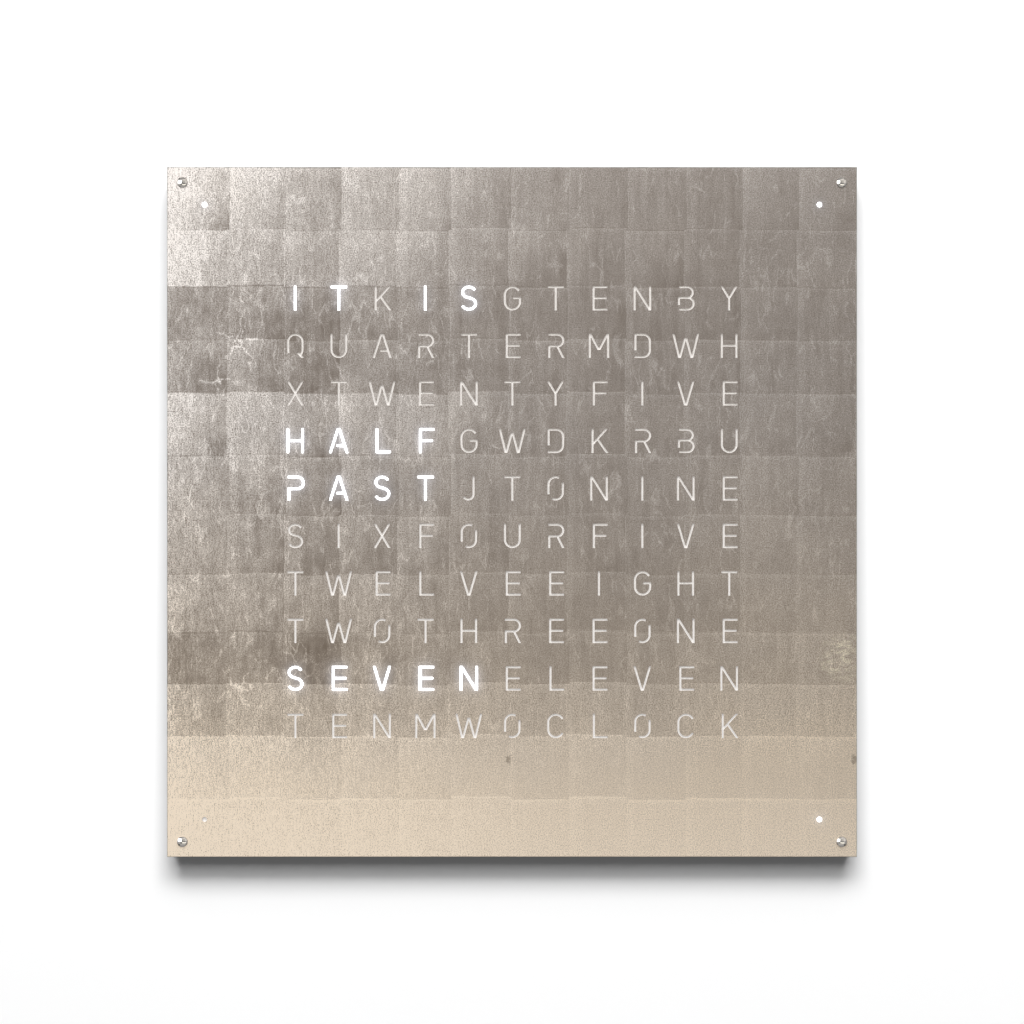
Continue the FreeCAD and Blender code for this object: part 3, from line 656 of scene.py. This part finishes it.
def bowl(edge, top, foot):
    """The outline of a bowl's middle line: level from edge, round a half circle, and level back."""
    radius = (top - foot) / 2
    return arc(edge - radius, (top + foot) / 2, radius, radius, 90, -90)


LETTERS = {
    "A": [leg(-10.7, -HIGH, -0.4, HIGH), leg(11.3, -HIGH, 1.0, HIGH), level(-2.2, 8.8, -6.5)],
    "B": [
        bow((-8.6, BAR), bowl(9.4, BAR, 0.6), (-8.6, 0.6), (-8.6, -9.0)),
        bow((1, 0.6), bowl(10.5, 0.6, -BAR), (-8.6, -BAR)),
    ],
    "C": round_letter(0.5, 9.9, (26, 334)),
    "D": [
        bow(
            (-8.8, -6.0), (-8.8, BAR), (-0.4, BAR), arc(1.3, BAR - 8.7, 8.7, 8.7, 90, 0),
            arc(1.3, 8.7 - BAR, 8.7, 8.7, 0, -90), (-10.2, -BAR)
        ),
    ],
    "E": [bow((11.4, BAR), (-6.8, BAR), (-6.8, -BAR), (11.4, -BAR)), level(-6.8, 10.2, 0.2)],
    "F": [bow((11.6, BAR), (-6.4, BAR), (-6.4, -HIGH)), level(-6.4, 9.9, 0.2)],
    "G": [
        bow(
            arc(0.5, BAR - 9.9, 9.9, 9.9, 30, 180), arc(0.5, 9.9 - BAR, 9.9, 9.9, 180, 360),
            (10.4, 0.2), (1.2, 0.2)
        ),
    ],
    "H": [leg(-9.3, -HIGH, -9.3, HIGH), leg(9.7, -HIGH, 9.7, HIGH), level(-9.3, 9.7, 0.2)],
    "I": [leg(0.2, -HIGH, 0.2, HIGH)],
    "J": [bow((6.4, HIGH), arc(-0.6, 7 - BAR, 7, 7, 0, -150))],
    "K": [leg(-8.1, -HIGH, -8.1, HIGH), leg(10.4, HIGH, -8.1, -4.6), leg(-1.8, 2.2, 11.0, -HIGH)],
    "L": [bow((-6.4, HIGH), (-6.4, -BAR), (11.6, -BAR))],
    "M": [
        leg(-11.7, -HIGH, -11.7, HIGH), leg(12.1, -HIGH, 12.1, HIGH),
        leg(-11.5, HIGH, -0.1, -5.5), leg(11.9, HIGH, 0.5, -5.5),
    ],
    "N": [leg(-9.9, -HIGH, -9.9, HIGH), leg(10.4, -HIGH, 10.4, HIGH), leg(-9.8, HIGH, 10.3, -HIGH)],
    "O": round_letter(0.3, 9.4, (62, 196), (242, 376)),
    "P": [bow((-9.4, BAR), bowl(11.0, BAR, -0.6), (-8.0, -0.6), (-8.0, -HIGH))],
    "Q": round_letter(0.3, 9.4, (-58, 206)) + [leg(3.0, -8.6, 10.2, -HIGH)],
    "R": [
        bow((-9.4, BAR), bowl(10.3, BAR, -0.6), (-8.0, -0.6), (-8.0, -HIGH)),
        leg(2.6, -0.6, 10.3, -HIGH),
    ],
    "S": [bow(arc(0.3, 7.7, 8.3, 6.9, 24, 252), arc(0.3, -7.2, 9.0, 7.4, 72, -156))],
    "T": [level(-10.1, 11.0, BAR), leg(0.4, -HIGH, 0.4, HIGH)],
    "U": [bow((-9.2, HIGH), arc(0.4, 9.6 - BAR, 9.6, 9.6, 180, 360, 20), (10.0, HIGH))],
    "V": [leg(-10.0, HIGH, -0.4, -HIGH), leg(10.3, HIGH, 0.8, -HIGH)],
    "W": [
        leg(-16.0, HIGH, -8.2, -HIGH), leg(-0.2, 10.8, -7.4, -HIGH),
        leg(0.6, 10.8, 7.8, -HIGH), leg(16.4, HIGH, 8.6, -HIGH),
    ],
    "X": [leg(-9.2, HIGH, 9.8, -HIGH), leg(9.8, HIGH, -9.2, -HIGH)],
    "Y": [leg(-9.7, HIGH, -0.1, 0.2), leg(9.9, HIGH, 0.5, 0.2), leg(0.2, 1.4, 0.2, -HIGH)],
}


def panel_outlines():
    """The panel's square, then every stroke of every letter and the dots, about its centre."""
    inner = panel_half - EDGE
    outlines = [np.array([(-inner, -inner), (inner, -inner), (inner, inner), (-inner, inner)])]
    for row, letters in enumerate(LETTER_ROWS):
        for column, letter in enumerate(letters):
            x = (column - (len(letters) - 1) / 2) * column_pitch
            z = ((len(LETTER_ROWS) - 1) / 2 - row) * row_pitch
            outlines += [stroke / 1000 + (x, z) for stroke in LETTERS[letter]]
    for x in (-dot_reach, dot_reach):
        for z in (-dot_reach, dot_reach):
            outlines.append(arc(x, z, DOT_RADIUS, DOT_RADIUS, 0, 360, 32)[:-1])
    return outlines


def turned_left(outline):
    """The outline, turned round where it runs clockwise: its area, summed from corner products,
    is below zero there."""
    x, z = outline.T
    area = (x * np.roll(z, -1) - np.roll(x, -1) * z).sum()
    return outline if area > 0 else outline[::-1]


# the sheet is split into triangles along every outline, and those that lie in its square alone,
# and in no stroke or dot, are kept
outlines = [turned_left(outline) for outline in panel_outlines()]
corners = np.concatenate(outlines)
ends = np.cumsum([len(outline) for outline in outlines])
faces = [list(range(end - len(outline), end)) for outline, end in zip(outlines, ends)]
# points nearer to each other than this are taken for one
NEAREST = 1e-7
flat, _, triangles, _, _, owners = delaunay_2d_cdt(
    [Vector(corner) for corner in corners], [], faces, 1, NEAREST, True
)
flat = np.array([tuple(point) for point in flat])
kept = np.array([face for face, owner in zip(triangles, owners) if list(owner) == [0]])
count = len(flat)
front = np.stack([flat[:, 0], np.full(count, panel_low.y), flat[:, 1] + panel_middle.z], axis=1)
back = front.copy()
back[:, 1] = panel_high.y
# an edge between kept and dropped triangles belongs to one kept triangle only, and gets a wall
edges = np.concatenate([kept[:, [0, 1]], kept[:, [1, 2]], kept[:, [2, 0]]])
keys = np.sort(edges, axis=1) @ (count, 1)
_, first_at, uses = np.unique(keys, return_index=True, return_counts=True)
rim = edges[first_at[uses == 1]]
on_edge = (np.abs(flat[rim]).max(2) > panel_half - EDGE * 1.5).all(1)
walls = rim[~on_edge]
quads = np.stack([walls[:, 1], walls[:, 0], walls[:, 0] + count, walls[:, 1] + count], axis=1)
# a small edge runs round the sheet, front and back, between its faces and its sides
square = panel_half * np.array([(-1, -1), (1, -1), (1, 1), (-1, 1)])
rings = []
for depth in (panel_low.y + EDGE, panel_high.y - EDGE):
    rings.append(np.stack([square[:, 0], np.full(4, depth), square[:, 1] + panel_middle.z], axis=1))
inner_square = square * (1 - EDGE / panel_half)
corner_at = [int(np.hypot(*(flat - corner).T).argmin()) for corner in inner_square]
border = []
for k in range(4):
    after = (k + 1) % 4
    low, high = 2 * count + k, 2 * count + after
    border += [
        (corner_at[after], corner_at[k], low, high),
        (high, low, low + 4, high + 4),
        (high + 4, low + 4, corner_at[k] + count, corner_at[after] + count),
    ]
panel_mesh = bpy.data.meshes.new("leafed_panel")
panel_mesh.from_pydata(
    np.concatenate([front, back, *rings]).tolist(),
    [],
    kept.tolist() + (kept[:, ::-1] + count).tolist() + border + quads.tolist(),
)
# the leaf lies on the front alone: the back is bare sheet, and the walls and edges are cut
face_finish = np.repeat((0, 1, 2), (len(kept), len(kept), len(border) + len(quads)))
panel_mesh.polygons.foreach_set("material_index", face_finish.astype(np.int32))
panel = bpy.data.objects.new("leafed_panel", panel_mesh)
bpy.context.scene.collection.objects.link(panel)

# for each course of leaf, from the lowest up: its lightness, part its own tone and part a painted
# reflection that is brightest in the lowest courses, and a painted highlight: how much lighter or
# darker it turns towards the left, where it catches the light
COURSE_LIGHTNESS = (0.87, 0.67, 0.44, 0.28, 0.23, 0.21, 0.21, 0.20, 0.19, 0.18, 0.19, 0.22)
COURSE_SHINE = (0.56, 0.34, 0.08, -0.14, 0.18, 0.18, 0.28, 0.47, 0.18, 0.13, 0.68, 0.70)
# a ramp holds nothing below 0, so the shines go into theirs without this least of them
LEAST_SHINE = -0.2
# the leaves are laid by hand, so courses and columns aren't quite even: their seams in millimetres
# from the panel's middle
COURSE_SEAMS = (-450, -376, -293, -224, -158, -81, -4, 73, 155, 224, 293, 368, 450)
COLUMN_SEAMS = (-450, -370, -296, -224, -149, -81, -3, 73, 149, 226, 299, 373, 450)
# for each column, from the left: its lightness, which is stronger towards the left, where the
# usual one changes nothing
COLUMN_LIGHTNESS = (0.11, 0.12, 0.05, 0.12, 0.13, 0.09, 0.07, 0.07, 0.08, 0.06, 0.10, 0.09)
USUAL_COLUMN = 0.10
# small stains: how dark, where across and up, half width, half height, and how soft their edge is
STAINS = (
    (1.0, -0.004, -0.323, 0.0045, 0.006, 0.8),
    (1.0, 0.4455, -0.323, 0.005, 0.007, 0.8),
    (0.4, -0.019, 0.131, 0.005, 0.011, 1.0),
)
# three leaves were crumpled hard, and rayed creases run out from one point of each: how bright,
# where across and up, how far they reach, how many, and how far they are turned
STARS = (
    (1.0, -0.353, 0.222, 0.042, 5, 0.07),
    (0.7, -0.355, -0.230, 0.032, 5, 0.31),
    (0.6, -0.383, 0.170, 0.040, 4, 0.12),
)
# the lacquer takes a little of the leaf's brightness
LACQUER = 0.86

leaf, place = new_finish("metal_leaf")
across, _, up = place.axes()
up = up - panel_middle.z
# the edges of the leaves waver, and no leaf lies quite in line with its neighbours
waver = (place.noise(22.0, 4.0) - 0.5) * 0.05
course = up.passed(COURSE_SEAMS) + waver
column = across.passed(COLUMN_SEAMS) + waver
column = column + (place.joined(course.floor(), 3.0).chance()[0] - 0.5) * 0.08
course = course + (place.joined(column.floor(), 9.0).chance()[1] - 0.5) * 0.06
leaf_tone, wrinkling, streaking = place.joined(column.floor(), course.floor(), 5.0).chance()
slope, lean_across, lean_up = place.joined(column.floor(), course.floor(), 8.0).chance()

# broad areas of the panel: 1 inside them, and 0 outside
near_left = across.ramp(-0.37, -0.46)
left = across.ramp(0.16, -0.44)
right = across.ramp(0.17, 0.36) * up.ramp(0.28, -0.10)
foot = up.ramp(-0.27, -0.34)
# at the foot, where the painted reflection is brightest, the leaf's unevenness is painted mostly
# away, as if the light came so steeply there that it hid it
even = 1 - foot * 0.7
calm = 1 - foot * 0.6
# the leaf's own texture, from the finest to the broadest, about 0
grain = place.times((800, 1, 620)).noise(1.0, 2.0) - 0.5
fibres = place.times((420, 1, 110)).noise(1.0, 3.0, 0.8) - 0.5
streaks = place.times((95, 1, 12)).noise(1.0, 4.0, 0.5) - 0.5
clouds = place.noise(15.0, 4.0) - 0.5
blotches = place.noise(48.0, 3.0) - 0.5


def spot(x, z, width, height, soft, ragged=3.2):
    """1 inside an ellipse about this place on the panel, where the squares of the distances across
    and up, each over its half size, add up to less than 1. Noise makes its edge ragged."""
    edge = place.noise(330.0, 4.0) - 0.5
    off = ((across - x) / width) ** 2 + ((up - z) / height) ** 2
    return (off + edge * ragged).ramp(1.0, 1.0 - soft)


# creases of the crumpled foil: branching lines between scattered cells
creased = place.warped(60.0, 0.005).times((60, 1, 26)).cracks(0.06)
creased = creased * place.noise(26.0, 3.0).ramp(0.50, 0.64) * wrinkling.ramp(0.2, 0.8)
bent_across, _, bent_up = place.warped(70.0, 0.006).axes()


def rays(x, z, reach, count, turn):
    """Crooked bright lines that run out from a place: a line lies where the angle, in turns and
    times their count, is halfway between whole numbers, and it stays as wide all along."""
    x_off = bent_across - x
    z_off = bent_up - (panel_middle.z + z)
    radius = (x_off * x_off + z_off * z_off) ** 0.5
    angle = x_off.maths("ARCTAN2", z_off, x_off) / (2 * np.pi) + turn
    # the distance to the nearest line, with 6 for 2 pi
    aside = abs((angle * count).fraction() - 0.5) * radius / count * 6
    lines = aside.ramp(0.0024, 0.0) * radius.ramp(reach, reach * 0.3)
    return lines + radius.ramp(0.006, 0.0) * 0.6


starred = sum(rays(*star) * brightness for brightness, *star in STARS)
starred = starred * place.noise(130.0, 3.0).ramp(0.36, 0.56)
# single hairs, curled scratches and a felt of the finest ones
hairs = abs(place.warped(26.0, 0.007).times((58, 1, 15)).noise(1.0, 1.5) - 0.5).ramp(0.034, 0.0)
hairs = hairs * place.noise(40.0, 3.0).ramp(0.46, 0.58)
curls = abs(place.warped(45.0, 0.012).noise(95.0, 1.0) - 0.5).ramp(0.022, 0.0)
curls = curls * place.noise(19.0, 2.0).ramp(0.52, 0.62) * wrinkling.ramp(0.3, 0.7)
felt = abs(place.warped(150.0, 0.004).noise(330.0, 1.0) - 0.5).ramp(0.06, 0.0)
felt = felt * place.noise(70.0, 3.0).ramp(0.42, 0.60)
# how far across and up its leaf a place lies; each leaf is painted paler towards its upper left,
# a painted sheen as if it tilted to the light, and paler still in the strip where it laps its
# neighbours
seam_across = column.fraction()
seam_up = course.fraction()
leaf_sheen = (seam_up - seam_across) * 0.5
lap = seam_across.ramp(0.12, 0.09).most(seam_up.ramp(0.93, 0.96))
# a painted highlight along each leaf's left and upper edges, and a painted shadow line along its foot
seam_ridge_and_highlight = seam_across.ramp(0.03, 0.0).most(seam_up.ramp(0.97, 1.0))
seam_shadow = seam_up.ramp(0.03, 0.0) * place.noise(14.0, 2.0).ramp(0.5, 0.65)
stain = 0.0
for darkness, *patch in STAINS:
    stain = (spot(*patch) * darkness).most(stain)
# a patch at the right edge is rubbed down to a warm yellow in level strokes
strokes = place.times((70, 1, 190)).noise(1.0, 4.0, 0.6).ramp(0.42, 0.62)
rubbed = spot(0.430, -0.192, 0.034, 0.038, 1.0, 1.6) * strokes
course_shine = course.steps([value - LEAST_SHINE for value in COURSE_SHINE]) + LEAST_SHINE
# a painted highlight: each course is painted lighter or darker towards the left edge
painted_shine = course_shine * (left * 0.55 + near_left * 0.45)
# the painted sheen is strongest where its course catches the light, and towards the left
leaf_sheen = leaf_sheen * (course_shine.most(0.0) * 0.36 + 0.13) * (left * 0.8 + 0.3) * (slope * 1.2 + 0.4)
# marks are painted with more contrast on the painted highlight at the left, and less at the foot
lightness = (
    course.steps(COURSE_LIGHTNESS)
    + painted_shine
    + right * (1 - foot * 0.8) * 0.07
    + (column.steps(COLUMN_LIGHTNESS) - USUAL_COLUMN) * (left * 1.1 + 0.35) * even
    + ((leaf_tone - 0.5) * 0.10 * (left * 0.7 + 0.3) + leaf_sheen) * even
    + (clouds * (left * 0.30 + 0.12) + blotches * (left * 0.22 + 0.12)) * calm
    + streaks * (streaking * 0.20 + left * 0.25 + 0.08) * calm
    + (creased * 0.26 + curls * 0.20 + hairs * 0.22) * (left * 0.6 + 0.5) * calm
    + felt * (0.22 - course_shine.most(0.0) * 0.35).most(0.04) * (left + 0.15) * (1 - foot)
    + starred * 0.75
    + up.ramp(-0.15, -0.30) * (0.5 - seam_up) * (left * 0.10 + 0.13)
    + lap * 0.03
    + seam_ridge_and_highlight * 0.05
    - seam_shadow * 0.05
    + rubbed * 0.24
)
# the grain and fibres too show more on the painted highlight at the left, and less at the foot
lightness = lightness * (
    grain * (left * 0.8 + 3.9 - foot * 1.6)
    + fibres * (left * 0.9 + near_left * 0.6 + 0.8 - foot * 0.5)
    + 1
)
lightness = lightness * (1 - stain * 0.6) * LACQUER
# the leaf turns from silver to champagne towards the foot
warmth = up.ramp(0.22, -0.50) ** 1.2 * 1.12 + right * 0.1 + clouds * 0.25
silver = lightness.tint((0.16, 0.13, 0.105, 1), (0.94, 0.89, 0.85, 1))
champagne = lightness.tint((0.20, 0.155, 0.112, 1), (1.0, 0.86, 0.69, 1))
gilt = lightness.tint((0.22, 0.175, 0.115, 1), (1.0, 0.92, 0.74, 1))
set_surface(leaf, {
    "Base Color": rubbed.tint(warmth.tint(silver, champagne), gilt),
    "Metallic": 0.6,
    "Roughness": 0.36 + grain * 0.3,
    "Normal": (
        grain * 0.3 + creased * 0.3 + hairs * 0.15 + streaks * 0.3 + seam_ridge_and_highlight * 0.15
        + (lean_across - 0.5) * seam_across * 0.6 + (lean_up - 0.5) * seam_up * 0.6
    ).bump(0.3, 0.0008),
})

# the sheet itself, bare at the back, and the edges that the laser cut
bare_sheet = drawn_metal(
    "bare_sheet",
    dark=(0.40, 0.39, 0.38, 1),
    light=(0.56, 0.55, 0.53, 1),
    roughness=0.36,
    stretch=(9, 700, 700),
)
cut_edge, place = new_finish("cut_edge")
cut_lines = place.times((4000, 60, 4000)).noise(1.0, 1.0)
set_surface(cut_edge, {
    "Base Color": cut_lines.tint((0.45, 0.44, 0.42, 1), (0.66, 0.65, 0.63, 1)),
    "Metallic": 1.0,
    "Roughness": 0.35 + cut_lines * 0.15,
})
for finish in (leaf, bare_sheet, cut_edge):
    panel_mesh.materials.append(finish)
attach(panel, "front_cover")
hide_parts("front_panel")

# ---- diffuser sheet ----
# Opal acrylic, bonded behind the panel. It glows in front of each LED that is lit, brightest in the
# middle of the cell, and behind the minute dots that are lit. A faint painted glow lies over all of
# it, stronger on its lower half, and lightens the letters that aren't lit.
opal, place = new_finish("opal_sheet")
letter_column, letter_row = cells(place)
off_middle = abs(letter_column.fraction() - 0.5) ** 2 + abs(letter_row.fraction() - 0.5) ** 2
led_and_painted_glow = lit_cells(letter_column, letter_row) * (1 - off_middle * 0.8)
led_and_painted_glow = led_and_painted_glow + dot_discs(place, DOT_RADIUS * 2, lit_only=True)
# painted glow, stronger towards the foot
led_and_painted_glow = led_and_painted_glow + place.axes()[2].ramp(panel_middle.z + 0.3, panel_middle.z - 0.3) * 0.028
frost = place.noise(1500.0, 1.0)
set_surface(opal, {
    "Base Color": frost.tint((0.90, 0.88, 0.86, 1), (0.96, 0.94, 0.92, 1)),
    "Roughness": 0.45 + frost * 0.1,
    # the low end of the tint is a faint painted glow over the whole sheet
    "Emission Color": led_and_painted_glow.tint((0.022, 0.017, 0.013, 1), (0.96, 0.98, 1.0, 1)),
    "Emission Strength": 4.5,
})
put_on(opal, "diffuser_sheet")

# ---- corner studs ----
# Turned caps, chrome plated and polished, bonded to the panel's corners over its fixing points: a
# low rim with a small edge, and a dome over it.
STUD_RADIUS = 0.007
RIM = 0.0012
RIM_EDGE = 0.0002
DOME_STEPS = 12
STUD_SIDES = 48
stud_low, stud_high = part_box("corner_studs")
stud_height = panel_low.y - stud_low.y
dome_height = stud_height - RIM
# the sphere that a dome is cut from has the radius (radius squared + height squared) / (2 height)
sphere = (STUD_RADIUS ** 2 + dome_height ** 2) / (2 * dome_height)
tilt = np.linspace(np.arcsin(STUD_RADIUS / sphere), 0, DOME_STEPS + 1)[:-1]
radii = np.append([STUD_RADIUS, STUD_RADIUS], sphere * np.sin(tilt))
heights = np.append([0.0, RIM - RIM_EDGE], stud_height - sphere * (1 - np.cos(tilt)))
rings = [squarish(radius, ROUND, STUD_SIDES) for radius in radii]
stud_reach = stud_high.x - STUD_RADIUS
stud_points = []
stud_faces = []
for x in (-stud_reach, stud_reach):
    for z in (-stud_reach, stud_reach):
        points, faces = stacked_rings(rings, heights, x, z + panel_middle.z, stud_height)
        before = len(stud_points) * len(points)
        # the rings are stacked out from the panel's face, which is towards -y
        stud_points.append(np.stack([points[:, 0], panel_low.y - points[:, 2], points[:, 1]], axis=1))
        stud_faces += [[corner + before for corner in face] for face in faces]
stud_mesh = bpy.data.meshes.new("polished_studs")
stud_mesh.from_pydata(np.concatenate(stud_points).tolist(), [], stud_faces)
stud_mesh.shade_smooth()
studs = bpy.data.objects.new("polished_studs", stud_mesh)
bpy.context.scene.collection.objects.link(studs)
polished, place = new_finish("polished_chrome")
scratches = place.times((900, 900, 900)).noise(1.0, 4.0)
set_surface(polished, {
    "Base Color": scratches.tint((0.70, 0.68, 0.65, 1), (0.80, 0.78, 0.75, 1)),
    "Metallic": 1.0,
    "Roughness": 0.08 + scratches * 0.06,
})
stud_mesh.materials.append(polished)
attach(studs, "front_cover")
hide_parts("corner_studs")

# ---- studio ----
# A white wall that only catches the clock's shadow, and a pale floor below. Wide soft lights stand
# above and before the clock, one at its left that the leaf reflects, and others at its sides and
# back. The studs, which mirror the room, and the shadow on the wall have lights of their own.
clock_centre = Vector((panel_middle.x, 0.0, panel_middle.z))


def flat_square(name, low, high, height, upright):
    """A level or upright rectangle between two corners, which the clock doesn't mirror."""
    corners = [(low[0], low[1]), (high[0], low[1]), (high[0], high[1]), (low[0], high[1])]
    points = [(x, height, z) if upright else (x, z, height) for x, z in corners]
    mesh = bpy.data.meshes.new(name)
    mesh.from_pydata(points, [], [(0, 1, 2, 3)])
    thing = bpy.data.objects.new(name, mesh)
    bpy.context.scene.collection.objects.link(thing)
    thing.visible_diffuse = False
    thing.visible_glossy = False
    return thing


def unseen_from_behind(material):
    """Makes the back of the material's faces clear."""
    geometry = material.node_tree.nodes.new("ShaderNodeNewGeometry")
    set_surface(material, {"Alpha": 1 - Wire(geometry.outputs["Backfacing"])})


wall = flat_square("studio_wall", (-3, -2), (3, 2), height=0.0, upright=True)
wall.visible_shadow = False
plaster, place = new_finish("white_wall")
unseen_from_behind(plaster)
set_surface(plaster, {
    "Base Color": place.noise(2.0, 1.0).tint((0.90, 0.90, 0.90, 1), (0.92, 0.92, 0.92, 1)),
    "Roughness": 1.0,
    "Specular IOR Level": 0.0,
    "Emission Color": (1.0, 1.0, 1.0, 1),
    "Emission Strength": 0.03,
})
wall.data.materials.append(plaster)
floor = flat_square("studio_floor", (-6, -6), (6, 4), height=-2.0, upright=False)
pale, place = new_finish("pale_floor")
unseen_from_behind(pale)
set_surface(pale, {
    "Base Color": place.noise(3.0, 2.0).tint((0.80, 0.80, 0.79, 1), (0.84, 0.84, 0.83, 1)),
    "Roughness": 0.7,
})
floor.data.materials.append(pale)
# what a light falls on: the wall alone, the studs alone, all but the wall, or all but both
wall_alone = bpy.data.collections.new("wall_alone")
wall_alone.objects.link(wall)
studs_alone = bpy.data.collections.new("studs_alone")
studs_alone.objects.link(studs)
all_but_wall = bpy.data.collections.new("all_but_wall")
all_but_wall.objects.link(wall)
all_but_studs = bpy.data.collections.new("all_but_studs")
all_but_studs.objects.link(wall)
all_but_studs.objects.link(studs)
for group in (all_but_wall, all_but_studs):
    for member in group.collection_objects:
        member.light_linking.link_state = "EXCLUDE"


def soft_light(name, place, width, height, radiance, colour, lit):
    """A rectangular light at a place seen from the clock's centre, turned to face it."""
    lamp = bpy.data.lights.new(name, "AREA")
    lamp.shape = "RECTANGLE"
    lamp.size = width
    lamp.size_y = height
    lamp.energy = radiance * np.pi * width * height
    lamp.color = colour
    thing = bpy.data.objects.new(name, lamp)
    thing.location = clock_centre + Vector(place)
    thing.rotation_euler = (-Vector(place)).to_track_quat("-Z", "Y").to_euler()
    thing.visible_camera = False
    thing.light_linking.receiver_collection = lit
    bpy.context.scene.collection.objects.link(thing)


NEUTRAL = (1.0, 1.0, 1.0)
SOFT_WHITE = (1.0, 0.99, 0.98)
CREAM = (1.0, 0.96, 0.92)
# name, place, width, height, radiance, colour and what the light falls on
soft_light("top_light", (0, -2.25, 2.7), 6.0, 2.4, 3.4, SOFT_WHITE, all_but_studs)
soft_light("front_light", (-0.6, -6.0, 0.1), 5.0, 5.2, 1.03, SOFT_WHITE, all_but_studs)
soft_light("left_light", (-2.6, -4.0, 1.2), 0.8, 2.4, 2.6, (1.0, 0.985, 0.96), all_but_wall)
soft_light("stud_left_light", (-3.3, -3.3, 1.1), 5.6, 3.8, 2.2, (1.0, 1.0, 0.99), studs_alone)
soft_light("stud_right_light", (2.6, -3.4, 2.2), 7.0, 5.0, 0.36, (1.0, 0.94, 0.87), studs_alone)
soft_light("stud_low_light", (1.0, -3.5, -1.7), 3.8, 0.9, 1.5, (1.0, 0.96, 0.86), studs_alone)
soft_light("stud_fill_light", (0, -7.0, 0), 19.0, 19.0, 0.15, CREAM, studs_alone)
for x, z in ((0, 3.8), (3.8, 0), (0, -3.8), (-3.8, 0)):
    soft_light("stud_edge_light", (x, -1.3, z), 5.6, 5.6, 0.30, CREAM, studs_alone)
soft_light("back_light", (0.8, 3.4, 1.8), 4.0, 3.0, 1.2, NEUTRAL, all_but_studs)
soft_light("left_side_light", (-3.3, 2.2, 0.4), 4.4, 3.0, 0.95, NEUTRAL, all_but_studs)
soft_light("right_side_light", (3.3, 2.2, 0.4), 4.4, 3.0, 0.95, NEUTRAL, all_but_studs)
soft_light("wide_shadow_light", (0, -6.3, 6.4), 8.9, 9.4, 2.94, NEUTRAL, wall_alone)
soft_light("close_shadow_light", (0, -5.7, 7.0), 8.0, 3.2, 10.9, NEUTRAL, wall_alone)

world = bpy.data.worlds.new("studio")
bpy.context.scene.world = world
world.use_nodes = True
background = world.node_tree.nodes["Background"]
# the room behind is white to the camera and dim to the clock
seen = Wire(world.node_tree.nodes.new("ShaderNodeLightPath").outputs["Is Camera Ray"])
shown = seen.tint((0.095, 0.095, 0.095, 1), (1, 1, 1, 1))
world.node_tree.links.new(shown.socket, background.inputs["Color"])

# the camera looks straight at the panel's middle, and its picture takes in this width there
PICTURE_WIDTH = 1.3357
camera = bpy.data.cameras.new("camera")
camera.lens = 100
camera.sensor_width = 36
distance = PICTURE_WIDTH * camera.lens / camera.sensor_width
viewer = bpy.data.objects.new("camera", camera)
viewer.location = (panel_middle.x, panel_low.y - distance, panel_middle.z)
viewer.rotation_euler = (np.pi / 2, 0, 0)
bpy.context.scene.collection.objects.link(viewer)
bpy.context.scene.camera = viewer
bpy.context.scene.view_settings.view_transform = "Standard"

# the lens spreads a little of the light of the lit words
scene = bpy.context.scene
scene.use_nodes = True
layers = scene.node_tree.nodes["Render Layers"]
glare = scene.node_tree.nodes.new("CompositorNodeGlare")
glare.glare_type = "BLOOM"
glare.inputs["Threshold"].default_value = 1.6
glare.inputs["Strength"].default_value = 0.65
glare.inputs["Size"].default_value = 0.02
glare.inputs["Tint"].default_value = (0.80, 0.86, 1.0, 1)
composite = scene.node_tree.nodes["Composite"]
scene.node_tree.links.new(layers.outputs["Image"], glare.inputs["Image"])
scene.node_tree.links.new(glare.outputs["Image"], composite.inputs["Image"])
